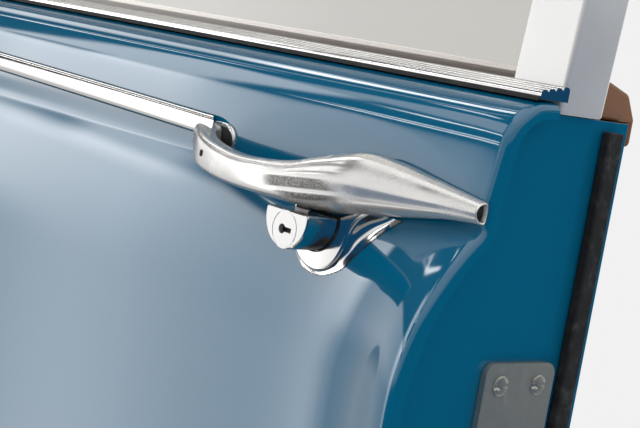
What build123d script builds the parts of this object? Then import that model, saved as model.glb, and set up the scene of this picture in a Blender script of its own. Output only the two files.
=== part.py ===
from build123d import *
import math
import os

# Front door of a 1950s saloon car, left-hand side, in millimetres.
# X runs rearward, Y into the car and Z up. The outer face looks towards -Y.
# The origin is the middle of the four bolt holes in the lower hinge's pillar leaf,
# on the face that bolts to the pillar.

# Overall places, measured from the origin
DOOR_FRONT_X = 20.0
DOOR_LENGTH = 1013.0
DOOR_REAR_X = DOOR_FRONT_X + DOOR_LENGTH
TAIL_BACK = 3.0            # from the rear edge to the end of the handle's tail
TAIL_X = DOOR_REAR_X - TAIL_BACK
STRIP_Z = 470.0            # height of the side strip's axis at the rear edge
SKIN_Y = -52.0             # where the skin's reference line runs behind the handle's tail
FRONT_END = DOOR_FRONT_X - TAIL_X
REAR_END = TAIL_BACK

# Door outline
DOOR_BELOW_STRIP = 600.0
FRONT_CORNER_R = 45.0
REAR_CORNER_R = 62.0
SKIN_T = 1.4
SEAT_GAP = 0.3             # clearance where a formed piece sits on another
OVERRUN = 12.0             # how far the lofts run past the edges before they are cut
CUT_REACH = 100.0          # how far the cutting prisms reach outside the skin

# Shape of the skin in section, as (y, z) from the strip's axis at the tail
SILL_EDGE = (22.0, 43.8)
SILL_TURN = (13.0, 43.4)
ROLL_MID = (5.2, 39.6)
ROLL_END = (-0.6, 34.2)
FACET_END = (-3.3, 27.4)
SIDE_END = (-7.0, 2.5)
SHELF_START = (-6.2, -7.0)
BOTTOM_Y = -16.0

# Plan curve of the door: nearly flat, fullest a little ahead of the handle
PLAN_R = 30000.0
PLAN_FULLEST_X = -300.0    # from the tail

# The hip that leads into the rear wing: a shelf below the strip, deepest at the rear edge
HIP_DEPTH = 9.0            # along the middle of the door
HIP_REAR_RISE = 26.0       # added at the rear edge
HIP_FADE = 42.0            # how fast that fades going forward
HIP_FRONT_RISE = 6.0       # added at the front edge
HIP_HEIGHT = 66.0
HIP_STATIONS = [REAR_END + OVERRUN, -12.0, -30.0, -52.0, -90.0, -180.0, -480.0, FRONT_END - OVERRUN]

# Inner shell
SHUT_SET_BACK = 8.0        # skin edge to shut face
SHELL_T = 1.5
INNER_Y = 74.0             # from the skin's reference, to the shell's inner face
SHELL_TOP = 39.0           # above the strip's axis

# Hinges
PIN_X = 14.0
PIN_Y = -22.0
PIN_R = 5.0
PIN_HEAD_R = 7.5
PIN_HEAD_H = 5.0
PIN_RUN = 0.06             # running clearance of the pin in the door leaf
KNUCKLE_R = 9.0
KNUCKLE_H = 22.0
KNUCKLE_GAP = 0.3
KNUCKLE_CLEAR = 2.5
LEAF_T = 6.0
LEAF_H = 76.0
LEAF_FAR_Y = 18.0
LEAF_CORNER = 6.0
BOLT_Y = 20.0
BOLT_Z = 48.0
BOLT_HOLE_R = 4.25
UPPER_HINGE_Z = 340.0

# Window frame, in its own upright plane before it leans in
FRAME_W = 27.6
FRAME_REAR_X = -2.3        # from the tail
FRAME_TOP = 432.0          # above the strip's axis
SCREEN_RAKE = 240.0        # from the door's front edge back to the top of the raked pillar
FRAME_TOP_FRONT_X = FRONT_END + SCREEN_RAKE
FRAME_TOP_FRONT = 420.0
FRAME_FOOT_BACK = 42.0     # from the front edge to the foot of the raked pillar
FRAME_FOOT_X = FRONT_END + FRAME_FOOT_BACK
FRAME_ARCH = 6.0
FRAME_LEG = -42.0
FRAME_Y = 28.0             # outer face, from the skin's reference
FRAME_D = 26.0
FRAME_LEAN = 4.0           # degrees, inward
FRAME_SET_IN = 6.5         # how much further in its front foot stands than its rear
FRAME_CORNER_R = 38.0
GROOVE_W = 12.0
GROOVE_D = 9.0
RUN_T = 2.6
GLASS_T = 5.0
GLASS_GRIP = 5.0
GLASS_DROP = -24.0
QUARTER_L = 370.0          # from the front edge to the middle of the division bar
DIVISION_X = FRONT_END + QUARTER_L
DIVISION_W = 20.0
DIVISION_D = 18.0
QUARTER_RING_W = 9.0
QUARTER_RING_D = 14.0
QUARTER_GAP = 1.0
QUARTER_SILL_H = 12.0
SILL_Z = 43.8              # top of the skin's flange, above the strip's axis

# Side strip and sill finisher
STRIP_H = 10.6
STRIP_D = 5.6
STRIP_RISE = 14.5          # how much higher it lies at the front edge
STRIP_REAR_X = -187.0
FINISHER_Y = (11.5, 27.2)
FINISHER_H = 6.0
RIB_COUNT = 4
RIB_DIP = 1.0

# Lock and push button
PLUG_X = -81.0
PLUG_Z = -25.3
PLUG_R = 7.5
PLUG_FIT = 0.05
PLUG_RIM = 0.4             # metal left between the plug and the button's round foot
PLUG_L = 11.4
KEY_SLOT_W = 7.2
KEY_SLOT_H = 1.6
KEY_ROUND_R = 1.5
BUTTON_R = 13.6
BUTTON_ABOVE_PLUG = 8.0
BUTTON_FACE_Y = -33.0
BUTTON_END_Y = 0.0
PEDESTAL_X = PLUG_X + 1.5
PEDESTAL_Z = PLUG_Z + 2.0
PEDESTAL_FACE_Y = -16.0
PEDESTAL_FOOT_Y = -8.0
GASKET_T = 1.0
GASKET_RIM = 0.8

# The pedestal's outline at its face and, flaring towards the tail, at its foot:
# depth; radius of its round end; side point back from its middle and below it; back of its top
PEDESTAL_RINGS = [
    (PEDESTAL_FACE_Y, 17.5, 17.5, 1.0, 24.5),
    (PEDESTAL_FOOT_Y, 19.0, 42.0, -1.0, 51.0),
]

# Outside handle, from its tail to its front foot, as sections across a bent middle line:
# x, y, z of the middle line; its turn from straight ahead towards the skin in degrees;
# half height above and below it; depth outward and inward of it
GRIP_STATIONS = [
    (2.0, -8.0, -1.0, 0.0, 4.3, 4.2, 4.8, 1.5),
    (-12.0, -9.0, -1.0, 0.0, 6.3, 5.3, 7.0, 2.0),
    (-28.0, -10.0, -1.3, 0.0, 9.1, 7.6, 9.6, 3.0),
    (-44.0, -11.5, -1.4, 0.0, 11.7, 10.2, 12.3, 4.0),
    (-58.0, -13.5, -1.8, 0.0, 13.2, 12.2, 14.2, 5.5),
    (-76.0, -17.5, -4.2, 0.0, 11.4, 11.8, 13.2, 7.5),
    (-92.0, -22.0, -6.6, 0.0, 8.5, 9.3, 10.4, 6.2),
    (-110.0, -24.8, -7.8, 0.0, 7.2, 7.9, 7.8, 5.0),
    (-130.0, -24.5, -8.2, 4.0, 6.8, 7.2, 6.2, 4.4),
    (-148.0, -22.5, -7.0, 14.0, 7.2, 7.0, 5.4, 4.2),
    (-162.0, -18.6, -5.0, 34.0, 7.4, 7.0, 5.2, 4.6),
    (-171.0, -12.8, -2.4, 58.0, 7.2, 7.0, 6.4, 6.0),
    (-175.0, -8.5, -0.2, 78.0, 7.0, 6.8, 10.0, 11.0),
    (-175.5, -5.0, 0.8, 88.0, 6.6, 6.6, 13.5, 15.0),
]
GRIP_SIDES = 16            # flats round the sections
GRIP_FULLNESS = 0.88       # 1 for an ellipse, less for a squarer section
TAIL_HOLLOW = 6.0          # depth of the open end of the tail

# Inside fittings, from the front edge, the strip's axis and the shell's inner face
TRIM_T = 5.0
TRIM_INSET = 12.0
CAPPING_Y = (57.0, 82.0)
CAPPING_H = 16.0
ARMREST_X = (410.0, 740.0)
ARMREST_Z = (-220.0, -178.0)
ARMREST_D = 62.0
ARMREST_END_R = 40.0
ARMREST_EASE = 8.0
WINDER_X = 340.0
WINDER_Z = -290.0
WINDER_REACH = 86.0
WINDER_KNOB_R = 10.0
WINDER_KNOB_L = 28.0
LEVER_X = 820.0
LEVER_Z = -140.0
LEVER_REACH = 104.0
BOSS_R = 15.0
BOSS_L = 18.0
ARM_T = 8.0
WINDER_TIP_R = 9.5
LEVER_TIP_R = 7.0

# Rear shut face
LATCH_Y = (14.0, 54.0)
LATCH_Z = (-150.0, -60.0)
LATCH_BOLT_Y = (24.0, 42.0)
LATCH_BOLT_Z = (-120.0, -96.0)
LATCH_T = 2.8
LATCH_CORNER_R = 5.0
LATCH_BOLT_L = 13.8
LATCH_HOUSING_RIM = 5.0    # of the raised collar round the bolt
LATCH_HOUSING_L = 6.0
DOVETAIL_Y = (18.0, 52.0)
DOVETAIL_Z = (-262.0, -236.0)
DOVETAIL_L = 11.8
DOVETAIL_UNDERCUT = 4.0    # how much narrower it is at its root, above and below
SEAL_Y = 58.0              # near face of the shut-face seal
SEAL_W = 9.0
SEAL_STAND = 5.0


def at(x, y, z):
    """A point given from the handle's tail, in the door's own frame."""
    return Vector(TAIL_X + x, SKIN_Y + y, STRIP_Z + z)


def block(x, y, z):
    """A box between pairs of limits."""
    return Pos((x[0] + x[1]) / 2, (y[0] + y[1]) / 2, (z[0] + z[1]) / 2) * Box(
        x[1] - x[0], y[1] - y[0], z[1] - z[0]
    )


def tail_block(x, y, z):
    """A box whose limits are given from the handle's tail."""
    return block(
        (TAIL_X + x[0], TAIL_X + x[1]), (SKIN_Y + y[0], SKIN_Y + y[1]), (STRIP_Z + z[0], STRIP_Z + z[1])
    )


def cyl(centre, axis, radius, length):
    """A cylinder centred on a point, along an axis."""
    return Plane(origin=centre, z_dir=axis) * Cylinder(radius, length)


def side_prism(edges, y0, y1):
    """Extrudes a closed outline drawn in the XZ plane from y0 to y1."""
    face = make_face(edges)
    return extrude(face.moved(Location((0, y0 - face.center().Y, 0))), amount=y1 - y0, dir=(0, 1, 0))


# The door's skin
def plan(x):
    """Inward shift of the skin from its plan curve, x from the tail."""
    return ((x - PLAN_FULLEST_X) ** 2 - PLAN_FULLEST_X**2) / (2 * PLAN_R)


def flank_y(x, z):
    """Skin surface above the shelf, from the tail's reference."""
    slope = (FACET_END[0] - SIDE_END[0]) / (FACET_END[1] - SIDE_END[1])
    if z < SIDE_END[1]:
        slope = (SIDE_END[0] - SHELF_START[0]) / (SIDE_END[1] - SHELF_START[1])
    return SIDE_END[0] + slope * (z - SIDE_END[1]) + plan(x)


def hip_depth(x):
    """How far the shelf below the strip stands out, x from the tail."""
    behind = HIP_REAR_RISE / (1 + (max(REAR_END + OVERRUN - x, 0.0) / HIP_FADE) ** 3)
    middle = FRONT_END / 2
    ahead = HIP_FRONT_RISE * max((x - middle) / (FRONT_END - middle), 0.0) ** 2
    return HIP_DEPTH + behind + ahead


def door_section(x, inward):
    """Closed section of the door's body at x, its outer line moved in by inward."""
    dy = plan(x) + inward
    dz = -inward
    depth = hip_depth(x)
    height = HIP_HEIGHT + depth / 4

    def p(y, z):
        return at(x, y + dy, z + dz)

    turn = 2 * math.atan(depth / height)
    radius = height / math.sin(turn)
    y0, z0 = SHELF_START
    half = turn / 2
    mid = (
        y0 - depth + radius * (1 - math.cos(half)),
        z0 - height + radius * math.sin(half),
    )
    end = (y0 - depth, z0 - height)
    low = (BOTTOM_Y, -DOOR_BELOW_STRIP - OVERRUN)
    inner_y = INNER_Y - dy
    lines = [
        Line(p(inner_y, SILL_EDGE[1]), p(*SILL_EDGE)),
        Line(p(*SILL_EDGE), p(*SILL_TURN)),
        ThreePointArc(p(*SILL_TURN), p(*ROLL_MID), p(*ROLL_END)),
        Line(p(*ROLL_END), p(*FACET_END)),
        Line(p(*FACET_END), p(*SIDE_END)),
        Line(p(*SIDE_END), p(*SHELF_START)),
        ThreePointArc(p(*SHELF_START), p(*mid), p(*end)),
        TangentArc(p(*end), p(*low), tangent=(0, 0, -1)),
        Line(p(*low), p(inner_y, low[1])),
        Line(p(inner_y, low[1]), p(inner_y, SILL_EDGE[1])),
    ]
    return make_face(lines)


def door_volume(inward):
    """Solid between the skin line, moved in by inward, and the inner face."""
    return loft([door_section(x, inward) for x in HIP_STATIONS], ruled=True)


def door_outline(inset, top):
    """Side outline of the door below the window, inset from the skin's edge."""
    front = DOOR_FRONT_X + inset
    rear = DOOR_REAR_X - inset
    low = STRIP_Z - DOOR_BELOW_STRIP + inset
    high = STRIP_Z + top
    rf = FRONT_CORNER_R - inset
    rr = REAR_CORNER_R - inset
    c = math.sqrt(0.5)
    return [
        Line((front, 0, high), (front, 0, low + rf)),
        ThreePointArc(
            (front, 0, low + rf), (front + rf - rf * c, 0, low + rf - rf * c), (front + rf, 0, low)
        ),
        Line((front + rf, 0, low), (rear - rr, 0, low)),
        ThreePointArc(
            (rear - rr, 0, low), (rear - rr + rr * c, 0, low + rr - rr * c), (rear, 0, low + rr)
        ),
        Line((rear, 0, low + rr), (rear, 0, high)),
        Line((rear, 0, high), (front, 0, high)),
    ]


OUTER = door_volume(0.0)
INSIDE = door_volume(SKIN_T)


def outer_skin():
    sheet = OUTER - INSIDE
    edge = side_prism(door_outline(0.0, SILL_Z + 5), SKIN_Y - CUT_REACH, SKIN_Y + SILL_EDGE[0] + 1.5)
    return (sheet & edge) - button_bore(1.5)


def inner_shell():
    set_back = SHUT_SET_BACK
    far = SKIN_Y + INNER_Y
    tray = side_prism(door_outline(set_back, SHELL_TOP), SKIN_Y - CUT_REACH, far)
    hollow = side_prism(door_outline(set_back + SHELL_T, SHELL_TOP + 10), SKIN_Y - CUT_REACH, far - SHELL_T)
    seated = INSIDE.moved(Location((0, 0.2, -0.2)))
    return (tray - hollow) & seated


# Window frame and glass, drawn upright and then leaned in
def lean(shape):
    """Leans a piece of the window inward about its foot, and turns it to the door's plan."""
    foot = at(0, FRAME_Y, SILL_Z)
    turn = math.degrees(math.atan2(FRAME_SET_IN, FRAME_REAR_X - FRAME_FOOT_X))
    return shape.rotate(Axis(foot, (1, 0, 0)), -FRAME_LEAN).rotate(Axis(foot, (0, 0, 1)), -turn)


def frame_plan(x):
    """Inward shift of the window frame along the door, x from the tail."""
    return FRAME_SET_IN * x / (FRAME_FOOT_X - FRAME_REAR_X)


def frame_face(inset, low):
    """Outline of the window frame, inset all round, down to low."""
    pts = [
        (FRAME_REAR_X, low),
        (FRAME_REAR_X, FRAME_TOP),
        (FRAME_TOP_FRONT_X, FRAME_TOP_FRONT),
        (FRAME_FOOT_X, SILL_Z),
        (FRAME_FOOT_X, low),
    ]
    world = [Vector(TAIL_X + x, 0, STRIP_Z + z) for x, z in pts]
    mid_x = TAIL_X + (FRAME_REAR_X + FRAME_TOP_FRONT_X) / 2
    mid_z = STRIP_Z + (FRAME_TOP + FRAME_TOP_FRONT) / 2 + FRAME_ARCH
    edges = [
        Line(world[0], world[1]),
        ThreePointArc(world[1], (mid_x, 0, mid_z), world[2]),
        Line(world[2], world[3]),
        Line(world[3], world[4]),
        Line(world[4], world[0]),
    ]
    face = make_face(edges)
    corners = [v for v in face.vertices() if v.Z > STRIP_Z + SILL_Z + 50]
    face = fillet(corners, FRAME_CORNER_R)
    if inset:
        face = offset(face, amount=-inset, kind=Kind.INTERSECTION)
    return face


def frame_prism(inset, low, y0, y1):
    """Extruded frame outline between two depths, from the skin's reference."""
    face = Sketch() + frame_face(inset, low)
    start = SKIN_Y + y0
    solid = extrude(face, amount=y1 - y0, dir=(0, 1, 0))
    return solid.moved(Location((0, start - solid.bounding_box().min.Y, 0)))


def frame_middle():
    return FRAME_Y + FRAME_D / 2


def groove_limits(side):
    """Depths of the groove's walls, each moved in by side."""
    return frame_middle() - GROOVE_W / 2 + side, frame_middle() + GROOVE_W / 2 - side


def window_frame():
    ring = frame_prism(0, FRAME_LEG, FRAME_Y, FRAME_Y + FRAME_D)
    ring -= frame_prism(FRAME_W, FRAME_LEG - 2 * FRAME_W, FRAME_Y - 1, FRAME_Y + FRAME_D + 1)
    g0, g1 = groove_limits(0)
    ring -= frame_prism(FRAME_W - GROOVE_D, FRAME_LEG - 2 * FRAME_W, g0, g1)
    shut_plate_x = DOOR_REAR_X - SHUT_SET_BACK - SHELL_T - SEAT_GAP - TAIL_X
    behind = tail_block((shut_plate_x, 20), (-10, 90), (FRAME_LEG - 20, SHELL_TOP + SEAT_GAP))
    return lean(ring) - behind


def window_run():
    g0, g1 = groove_limits(SEAT_GAP / 3)
    run = frame_prism(FRAME_W - GROOVE_D + 0.1, FRAME_LEG + 1, g0, g1)
    run -= frame_prism(FRAME_W - 0.1, FRAME_LEG - 2 * FRAME_W, g0 - 1, g1 + 1)
    slot0 = frame_middle() - GLASS_T / 2 - 0.2
    slot1 = frame_middle() + GLASS_T / 2 + 0.2
    run -= frame_prism(FRAME_W - GROOVE_D + RUN_T, FRAME_LEG - 2 * FRAME_W, slot0, slot1)
    return lean(run)


def glass_slab(low):
    """Whole glazed area, out into the run."""
    y0 = frame_middle() - GLASS_T / 2
    return frame_prism(FRAME_W - GLASS_GRIP, low - 2 * FRAME_W, y0, y0 + GLASS_T)


def window_glass():
    limits = tail_block(
        (DIVISION_X + DIVISION_W / 2 - GLASS_GRIP, FRAME_W), (0, INNER_Y), (GLASS_DROP, FRAME_TOP + FRAME_W)
    )
    return lean(glass_slab(GLASS_DROP) & limits)


def division_bar():
    half = DIVISION_W / 2
    y0, y1 = frame_middle() - DIVISION_D / 2, frame_middle() + DIVISION_D / 2
    bar = tail_block((DIVISION_X - half, DIVISION_X + half), (y0, y1), (FRAME_LEG, FRAME_TOP + FRAME_W))
    bar &= frame_prism(FRAME_W + 0.2, FRAME_LEG - 2 * FRAME_W, y0 - 5, y1 + 5)
    s0 = frame_middle() - GLASS_T / 2 - SEAT_GAP
    s1 = frame_middle() + GLASS_T / 2 + SEAT_GAP
    slot = tail_block(
        (DIVISION_X + half - GLASS_GRIP - 1, DIVISION_X + half + 1),
        (s0, s1),
        (FRAME_LEG - 1, FRAME_TOP + FRAME_W),
    )
    return lean(bar - slot)


def quarter_opening(inset, y0, y1):
    """The space ahead of the division bar, as a prism between two depths."""
    low = SILL_Z + QUARTER_SILL_H + inset
    area = frame_prism(FRAME_W + inset, FRAME_LEG - 3 * FRAME_W, y0, y1)
    limits = tail_block(
        (FRAME_FOOT_X, DIVISION_X - DIVISION_W / 2 - inset), (y0 - 1, y1 + 1), (low, FRAME_TOP + FRAME_W)
    )
    return area & limits


def quarter_light_frame():
    middle = frame_middle()
    y0, y1 = middle - QUARTER_RING_D / 2, middle + QUARTER_RING_D / 2
    half = GLASS_T / 2 + 0.1
    ring = quarter_opening(QUARTER_GAP, y0, y1)
    ring -= quarter_opening(QUARTER_GAP + QUARTER_RING_W, y0 - 1, y1 + 1)
    return lean(ring - quarter_opening(QUARTER_GAP + QUARTER_RING_W - 4.0, middle - half, middle + half))


def quarter_light_glass():
    middle = frame_middle()
    return lean(quarter_opening(QUARTER_GAP + QUARTER_RING_W - 3.8, middle - GLASS_T / 2, middle + GLASS_T / 2))


def quarter_sill():
    """Fixed rail across the foot of the quarter light."""
    y0, y1 = frame_middle() - DIVISION_D / 2, frame_middle() + DIVISION_D / 2
    rail = tail_block(
        (FRAME_FOOT_X, DIVISION_X - DIVISION_W / 2 - 0.2), (y0, y1), (SILL_Z - 8, SILL_Z + QUARTER_SILL_H)
    )
    return lean(rail & frame_prism(FRAME_W + 0.2, FRAME_LEG - 3 * FRAME_W, y0 - 1, y1 + 1))


# Trim on the outer face
def half_round(x, z, height, depth, back):
    """Half-round section across the door, lying on the flank at x."""
    upright = math.atan2(FACET_END[0] - SIDE_END[0], FACET_END[1] - SIDE_END[1])
    base = at(x, flank_y(x, max(z, SIDE_END[1])) - back, z)
    along = Vector(0, math.sin(upright), math.cos(upright))
    out = Vector(0, -math.cos(upright), math.sin(upright))
    top = base + along * (height / 2)
    low = base - along * (height / 2)
    lip = out * (depth * 0.25)
    return make_face(
        [
            Line(low, low + lip),
            ThreePointArc(low + lip, base + out * depth, top + lip),
            Line(top + lip, top),
            Line(top, low),
        ]
    )


def strip_z(x):
    """Height of the side strip's axis along the door, x from the tail."""
    return STRIP_RISE * (1 - ((x - FRONT_END) / FRONT_END) ** 2)


def side_strip():
    front = FRONT_END + 1.5
    count = 5
    stations = [STRIP_REAR_X + (front - STRIP_REAR_X) * i / (count - 1) for i in range(count)]
    return loft([half_round(x, strip_z(x), STRIP_H, STRIP_D, SEAT_GAP) for x in stations], ruled=True)


def plan_bar(section, x0, x1, count):
    """Lofts a section, a list of (y, z) corners, between the skin's line and the frame's."""
    near, far = FINISHER_Y
    faces = []
    for i in range(count):
        x = x0 + (x1 - x0) * i / (count - 1)
        pts = []
        for y, z in section:
            share = min(max((y - near) / (far - near), 0.0), 1.0)
            pts.append(at(x, y + plan(x) * (1 - share) + frame_plan(x) * share, z))
        faces.append(make_face([Line(pts[k], pts[(k + 1) % len(pts)]) for k in range(len(pts))]))
    return loft(faces, ruled=True)


def sill_finisher():
    """Chrome finisher on the outer sill, with ribs along its sloping top."""
    y0, y1 = FINISHER_Y
    pitch = (y1 - y0) / RIB_COUNT
    base = SILL_Z + SEAT_GAP
    section = [(y1, base), (y0, base), (y0, base + 1.8)]
    for i in range(RIB_COUNT):
        near = y0 + pitch * i
        lift = base + FINISHER_H * (0.55 + 0.45 * (i + 1) / RIB_COUNT)
        section.append((near + pitch * 0.25, lift))
        section.append((near + pitch * 0.75, lift))
        if i < RIB_COUNT - 1:
            section.append((near + pitch, lift - RIB_DIP))
    section.append((y1, base + FINISHER_H - RIB_DIP))
    return plan_bar(section, FRONT_END + 2, REAR_END - 1.5, 5)


def sill_seal_outer():
    y0, y1 = FINISHER_Y
    section = [
        (y0 - 1.2, SILL_Z - 0.6),
        (y0 - 1.2, SILL_Z + 0.8),
        (y0 - 0.2, SILL_Z + 1.6),
        (y0 - 0.2, SILL_Z + 0.1),
    ]
    return plan_bar(section, FRONT_END + 2, REAR_END - 1.5, 5)


# Outside handle
def power(value, exponent):
    """A power that keeps its sign."""
    return math.copysign(abs(value) ** exponent, value)


def grip_section(x, y, z, turn, up, down, out, into):
    """Closed section of the handle, an oval of flats about its middle line."""
    heading = math.radians(turn)
    outward = Vector(-math.sin(heading), -math.cos(heading), 0)
    upward = Vector(0, 0, 1)
    corners = []
    for i in range(GRIP_SIDES):
        angle = 2 * math.pi * i / GRIP_SIDES
        reach = power(math.cos(angle), GRIP_FULLNESS)
        rise = power(math.sin(angle), GRIP_FULLNESS)
        reach *= out if reach > 0 else into
        rise *= up if rise > 0 else down
        corners.append(at(x, y, z) + outward * reach + upward * rise)
    return make_face(Polyline(corners, close=True))


def grip_body():
    return loft([grip_section(*row) for row in GRIP_STATIONS], ruled=True)


def handle_grip():
    """Bow and tail of the handle, its tail's end left open."""
    x, y, z, turn, up, down, out, into = GRIP_STATIONS[0]
    pocket = Plane(origin=at(x - TAIL_HOLLOW, y - out * 0.35, z), x_dir=(0, 1, 0), z_dir=(1, 0, 0))
    hollow = extrude(pocket * Ellipse(out * 0.5, up * 0.72), amount=TAIL_HOLLOW + 2)
    return grip_body() - hollow - OUTER.moved(Location((0, -SEAT_GAP, 0)))


def pedestal_outline(y, radius, side, drop, back, grow):
    """Outline of the button's pedestal at one depth, round below and flaring towards the tail."""
    r = radius + grow
    cx = TAIL_X + PEDESTAL_X
    cz = STRIP_Z + PEDESTAL_Z
    depth = SKIN_Y + y
    c = math.sqrt(0.5)
    top = STRIP_Z + GRIP_STATIONS[5][2]
    turn_in = (cx + r * c, depth, cz - r * c)
    side_point = (cx + side + grow, depth, cz - drop)
    back_point = (cx + back + grow, depth, top)
    front_point = (cx - r, depth, top)
    return make_face(
        [
            ThreePointArc((cx - r, depth, cz), (cx - r * c, depth, cz - r * c), turn_in),
            Line(turn_in, side_point),
            Line(side_point, back_point),
            Line(back_point, front_point),
            Line(front_point, (cx - r, depth, cz)),
        ]
    )


def pedestal_body(grow):
    return loft([pedestal_outline(*ring, grow) for ring in PEDESTAL_RINGS], ruled=True)


def button_bore(grow):
    """Opening for the button through the pedestal, its gasket and the skin."""
    return button_shape(SKIN_Y + BUTTON_FACE_Y - 20, SKIN_Y + 12, grow)


def clear_of_grip(shape):
    """Cuts a piece beneath the grip back to the seating gap."""
    body = grip_body()
    for shift in ((0, 0, -SEAT_GAP), (0, -SEAT_GAP, 0), (0, 0, 0)):
        shape = shape - body.moved(Location(shift))
    return shape


def handle_pedestal():
    """Plated base that the push button slides in, seated on its gasket."""
    solid = pedestal_body(0.0) - OUTER.moved(Location((0, -SEAT_GAP - GASKET_T, 0)))
    return clear_of_grip(solid - button_bore(1.2))


def handle_gasket():
    """Rubber pad between the pedestal and the skin, up to the grip's underside."""
    pad = pedestal_body(GASKET_RIM) & OUTER.moved(Location((0, -SEAT_GAP - GASKET_T, 0)))
    pad -= OUTER.moved(Location((0, -SEAT_GAP, 0)))
    deepest = min(z - down for _, _, z, _, _, down, _, _ in GRIP_STATIONS[2:7])
    under_grip = tail_block((-200, 20), (-60, 20), (deepest - SEAT_GAP, 0))
    return pad - under_grip - button_bore(1.2)


def button_shape(y0, y1, grow):
    """Flat-topped, round-bottomed bar along Y around the lock plug."""
    r = BUTTON_R + grow
    cx = TAIL_X + PLUG_X
    top = STRIP_Z + PLUG_Z + BUTTON_ABOVE_PLUG + grow
    centre = STRIP_Z + PLUG_Z + BUTTON_R - PLUG_R - PLUG_RIM
    half = math.sqrt(r**2 - (top - centre) ** 2)
    edges = [
        Line((cx - half, 0, top), (cx + half, 0, top)),
        ThreePointArc((cx + half, 0, top), (cx, 0, centre - r), (cx - half, 0, top)),
    ]
    return side_prism(edges, y0, y1)


def push_button():
    start = SKIN_Y + BUTTON_FACE_Y
    solid = button_shape(start, SKIN_Y + BUTTON_END_Y, 0.0)
    hole = cyl((TAIL_X + PLUG_X, start, STRIP_Z + PLUG_Z), (0, 1, 0), PLUG_R + PLUG_FIT, 2 * PLUG_L + 1.2)
    return solid - hole


def lock_plug():
    start = SKIN_Y + BUTTON_FACE_Y
    centre = Vector(TAIL_X + PLUG_X, start, STRIP_Z + PLUG_Z)
    plug = cyl(centre + Vector(0, PLUG_L / 2 + 0.5, 0), (0, 1, 0), PLUG_R, PLUG_L)
    half_w, half_h = KEY_SLOT_W / 2, KEY_SLOT_H / 2
    slot = block(
        (centre.X - half_w, centre.X + half_w), (start - 1, start + 5), (centre.Z - half_h, centre.Z + half_h)
    )
    round_end = cyl(centre + Vector(KEY_ROUND_R - half_w, 0, 0), (0, 1, 0), KEY_ROUND_R, 10.0)
    return plug - slot - round_end


def button_seal():
    y0 = SKIN_Y + PEDESTAL_FACE_Y
    ring = button_shape(y0 - 0.8, y0 + 2.6, 1.05)
    return clear_of_grip(ring - button_shape(y0 - 5, y0 + 6, 0.1))


# Hinges
def knuckle(z0, z1):
    return cyl((PIN_X, PIN_Y, (z0 + z1) / 2), (0, 0, 1), KNUCKLE_R, z1 - z0)


def leaf_plate(x0, z):
    """Flat of a hinge leaf, its far corners cut off."""
    plate = block((x0, x0 + LEAF_T), (PIN_Y, LEAF_FAR_Y), (z - LEAF_H / 2, z + LEAF_H / 2))
    return chamfer(plate.edges().filter_by(Axis.X).sort_by(Axis.Y)[-2:], LEAF_CORNER)


def pillar_leaf(z):
    """Leaf on the pillar, with the outer pair of knuckles, the pin a press fit in them."""
    plate = leaf_plate(0, z)
    half = KNUCKLE_H / 2 + KNUCKLE_GAP
    reach = LEAF_H / 2
    ears = []
    for low, high in ((half, reach), (-reach, -half)):
        ears.append(knuckle(z + low, z + high))
        ears.append(block((0, PIN_X), (PIN_Y - KNUCKLE_R, PIN_Y + KNUCKLE_R), (z + low, z + high)))
    leaf = plate - cyl((PIN_X, PIN_Y, z), (0, 0, 1), KNUCKLE_R + KNUCKLE_CLEAR, KNUCKLE_H + 2 * KNUCKLE_GAP)
    for ear in ears:
        leaf += ear
    for y in (-BOLT_Y / 2, BOLT_Y / 2):
        for dz in (-BOLT_Z / 2, BOLT_Z / 2):
            leaf -= cyl((LEAF_T / 2, y, z + dz), (1, 0, 0), BOLT_HOLE_R, LEAF_T + 30)
    return leaf - cyl((PIN_X, PIN_Y, z), (0, 0, 1), PIN_R, LEAF_H + 4)


def hinge_pin(z):
    shaft = cyl((PIN_X, PIN_Y, z), (0, 0, 1), PIN_R, LEAF_H + 3)
    head = cyl((PIN_X, PIN_Y, z + LEAF_H / 2 + 1.0 + PIN_HEAD_H / 2), (0, 0, 1), PIN_HEAD_R, PIN_HEAD_H)
    return shaft + head


def door_leaf(z):
    """Leaf on the door's front face, with the middle knuckle that runs on the pin."""
    x1 = DOOR_FRONT_X + SHUT_SET_BACK
    plate = leaf_plate(x1 - LEAF_T, z)
    half = KNUCKLE_H / 2
    leaf = plate + knuckle(z - half, z + half)
    leaf += block((PIN_X, x1), (PIN_Y - KNUCKLE_R, PIN_Y + KNUCKLE_R), (z - half, z + half))
    clear = KNUCKLE_R + KNUCKLE_CLEAR
    for low, high in ((half, LEAF_H), (-LEAF_H, -half)):
        leaf -= cyl((PIN_X, PIN_Y, z + (low + high) / 2), (0, 0, 1), clear, high - low)
    return leaf - cyl((PIN_X, PIN_Y, z), (0, 0, 1), PIN_R + PIN_RUN, LEAF_H + 4)


# Inside of the door
def door_seal():
    """Rubber seal round the shut faces, broken at the hinges."""
    y0 = SKIN_Y + SEAL_Y
    ring = side_prism(door_outline(SHUT_SET_BACK - SEAL_STAND, SHELL_TOP - 4), y0, y0 + SEAL_W)
    ring -= side_prism(door_outline(SHUT_SET_BACK - SEAT_GAP, SHELL_TOP + 20), y0 - 1, y0 + SEAL_W + 1)
    for z in (0.0, UPPER_HINGE_Z):
        reach = LEAF_H / 2 + 4
        ring -= block(
            (DOOR_FRONT_X - SEAL_STAND, DOOR_FRONT_X + SHUT_SET_BACK), (y0 - 2, y0 + SEAL_W + 2), (z - reach, z + reach)
        )
    return ring


def inner_face(gap):
    """Y of the shell's inner face, or of a piece that far inside it."""
    return SKIN_Y + INNER_Y + gap


def trim_panel():
    y0 = inner_face(0.2)
    return side_prism(door_outline(SHUT_SET_BACK + TRIM_INSET, SHELL_TOP - 10), y0, y0 + TRIM_T)


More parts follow.
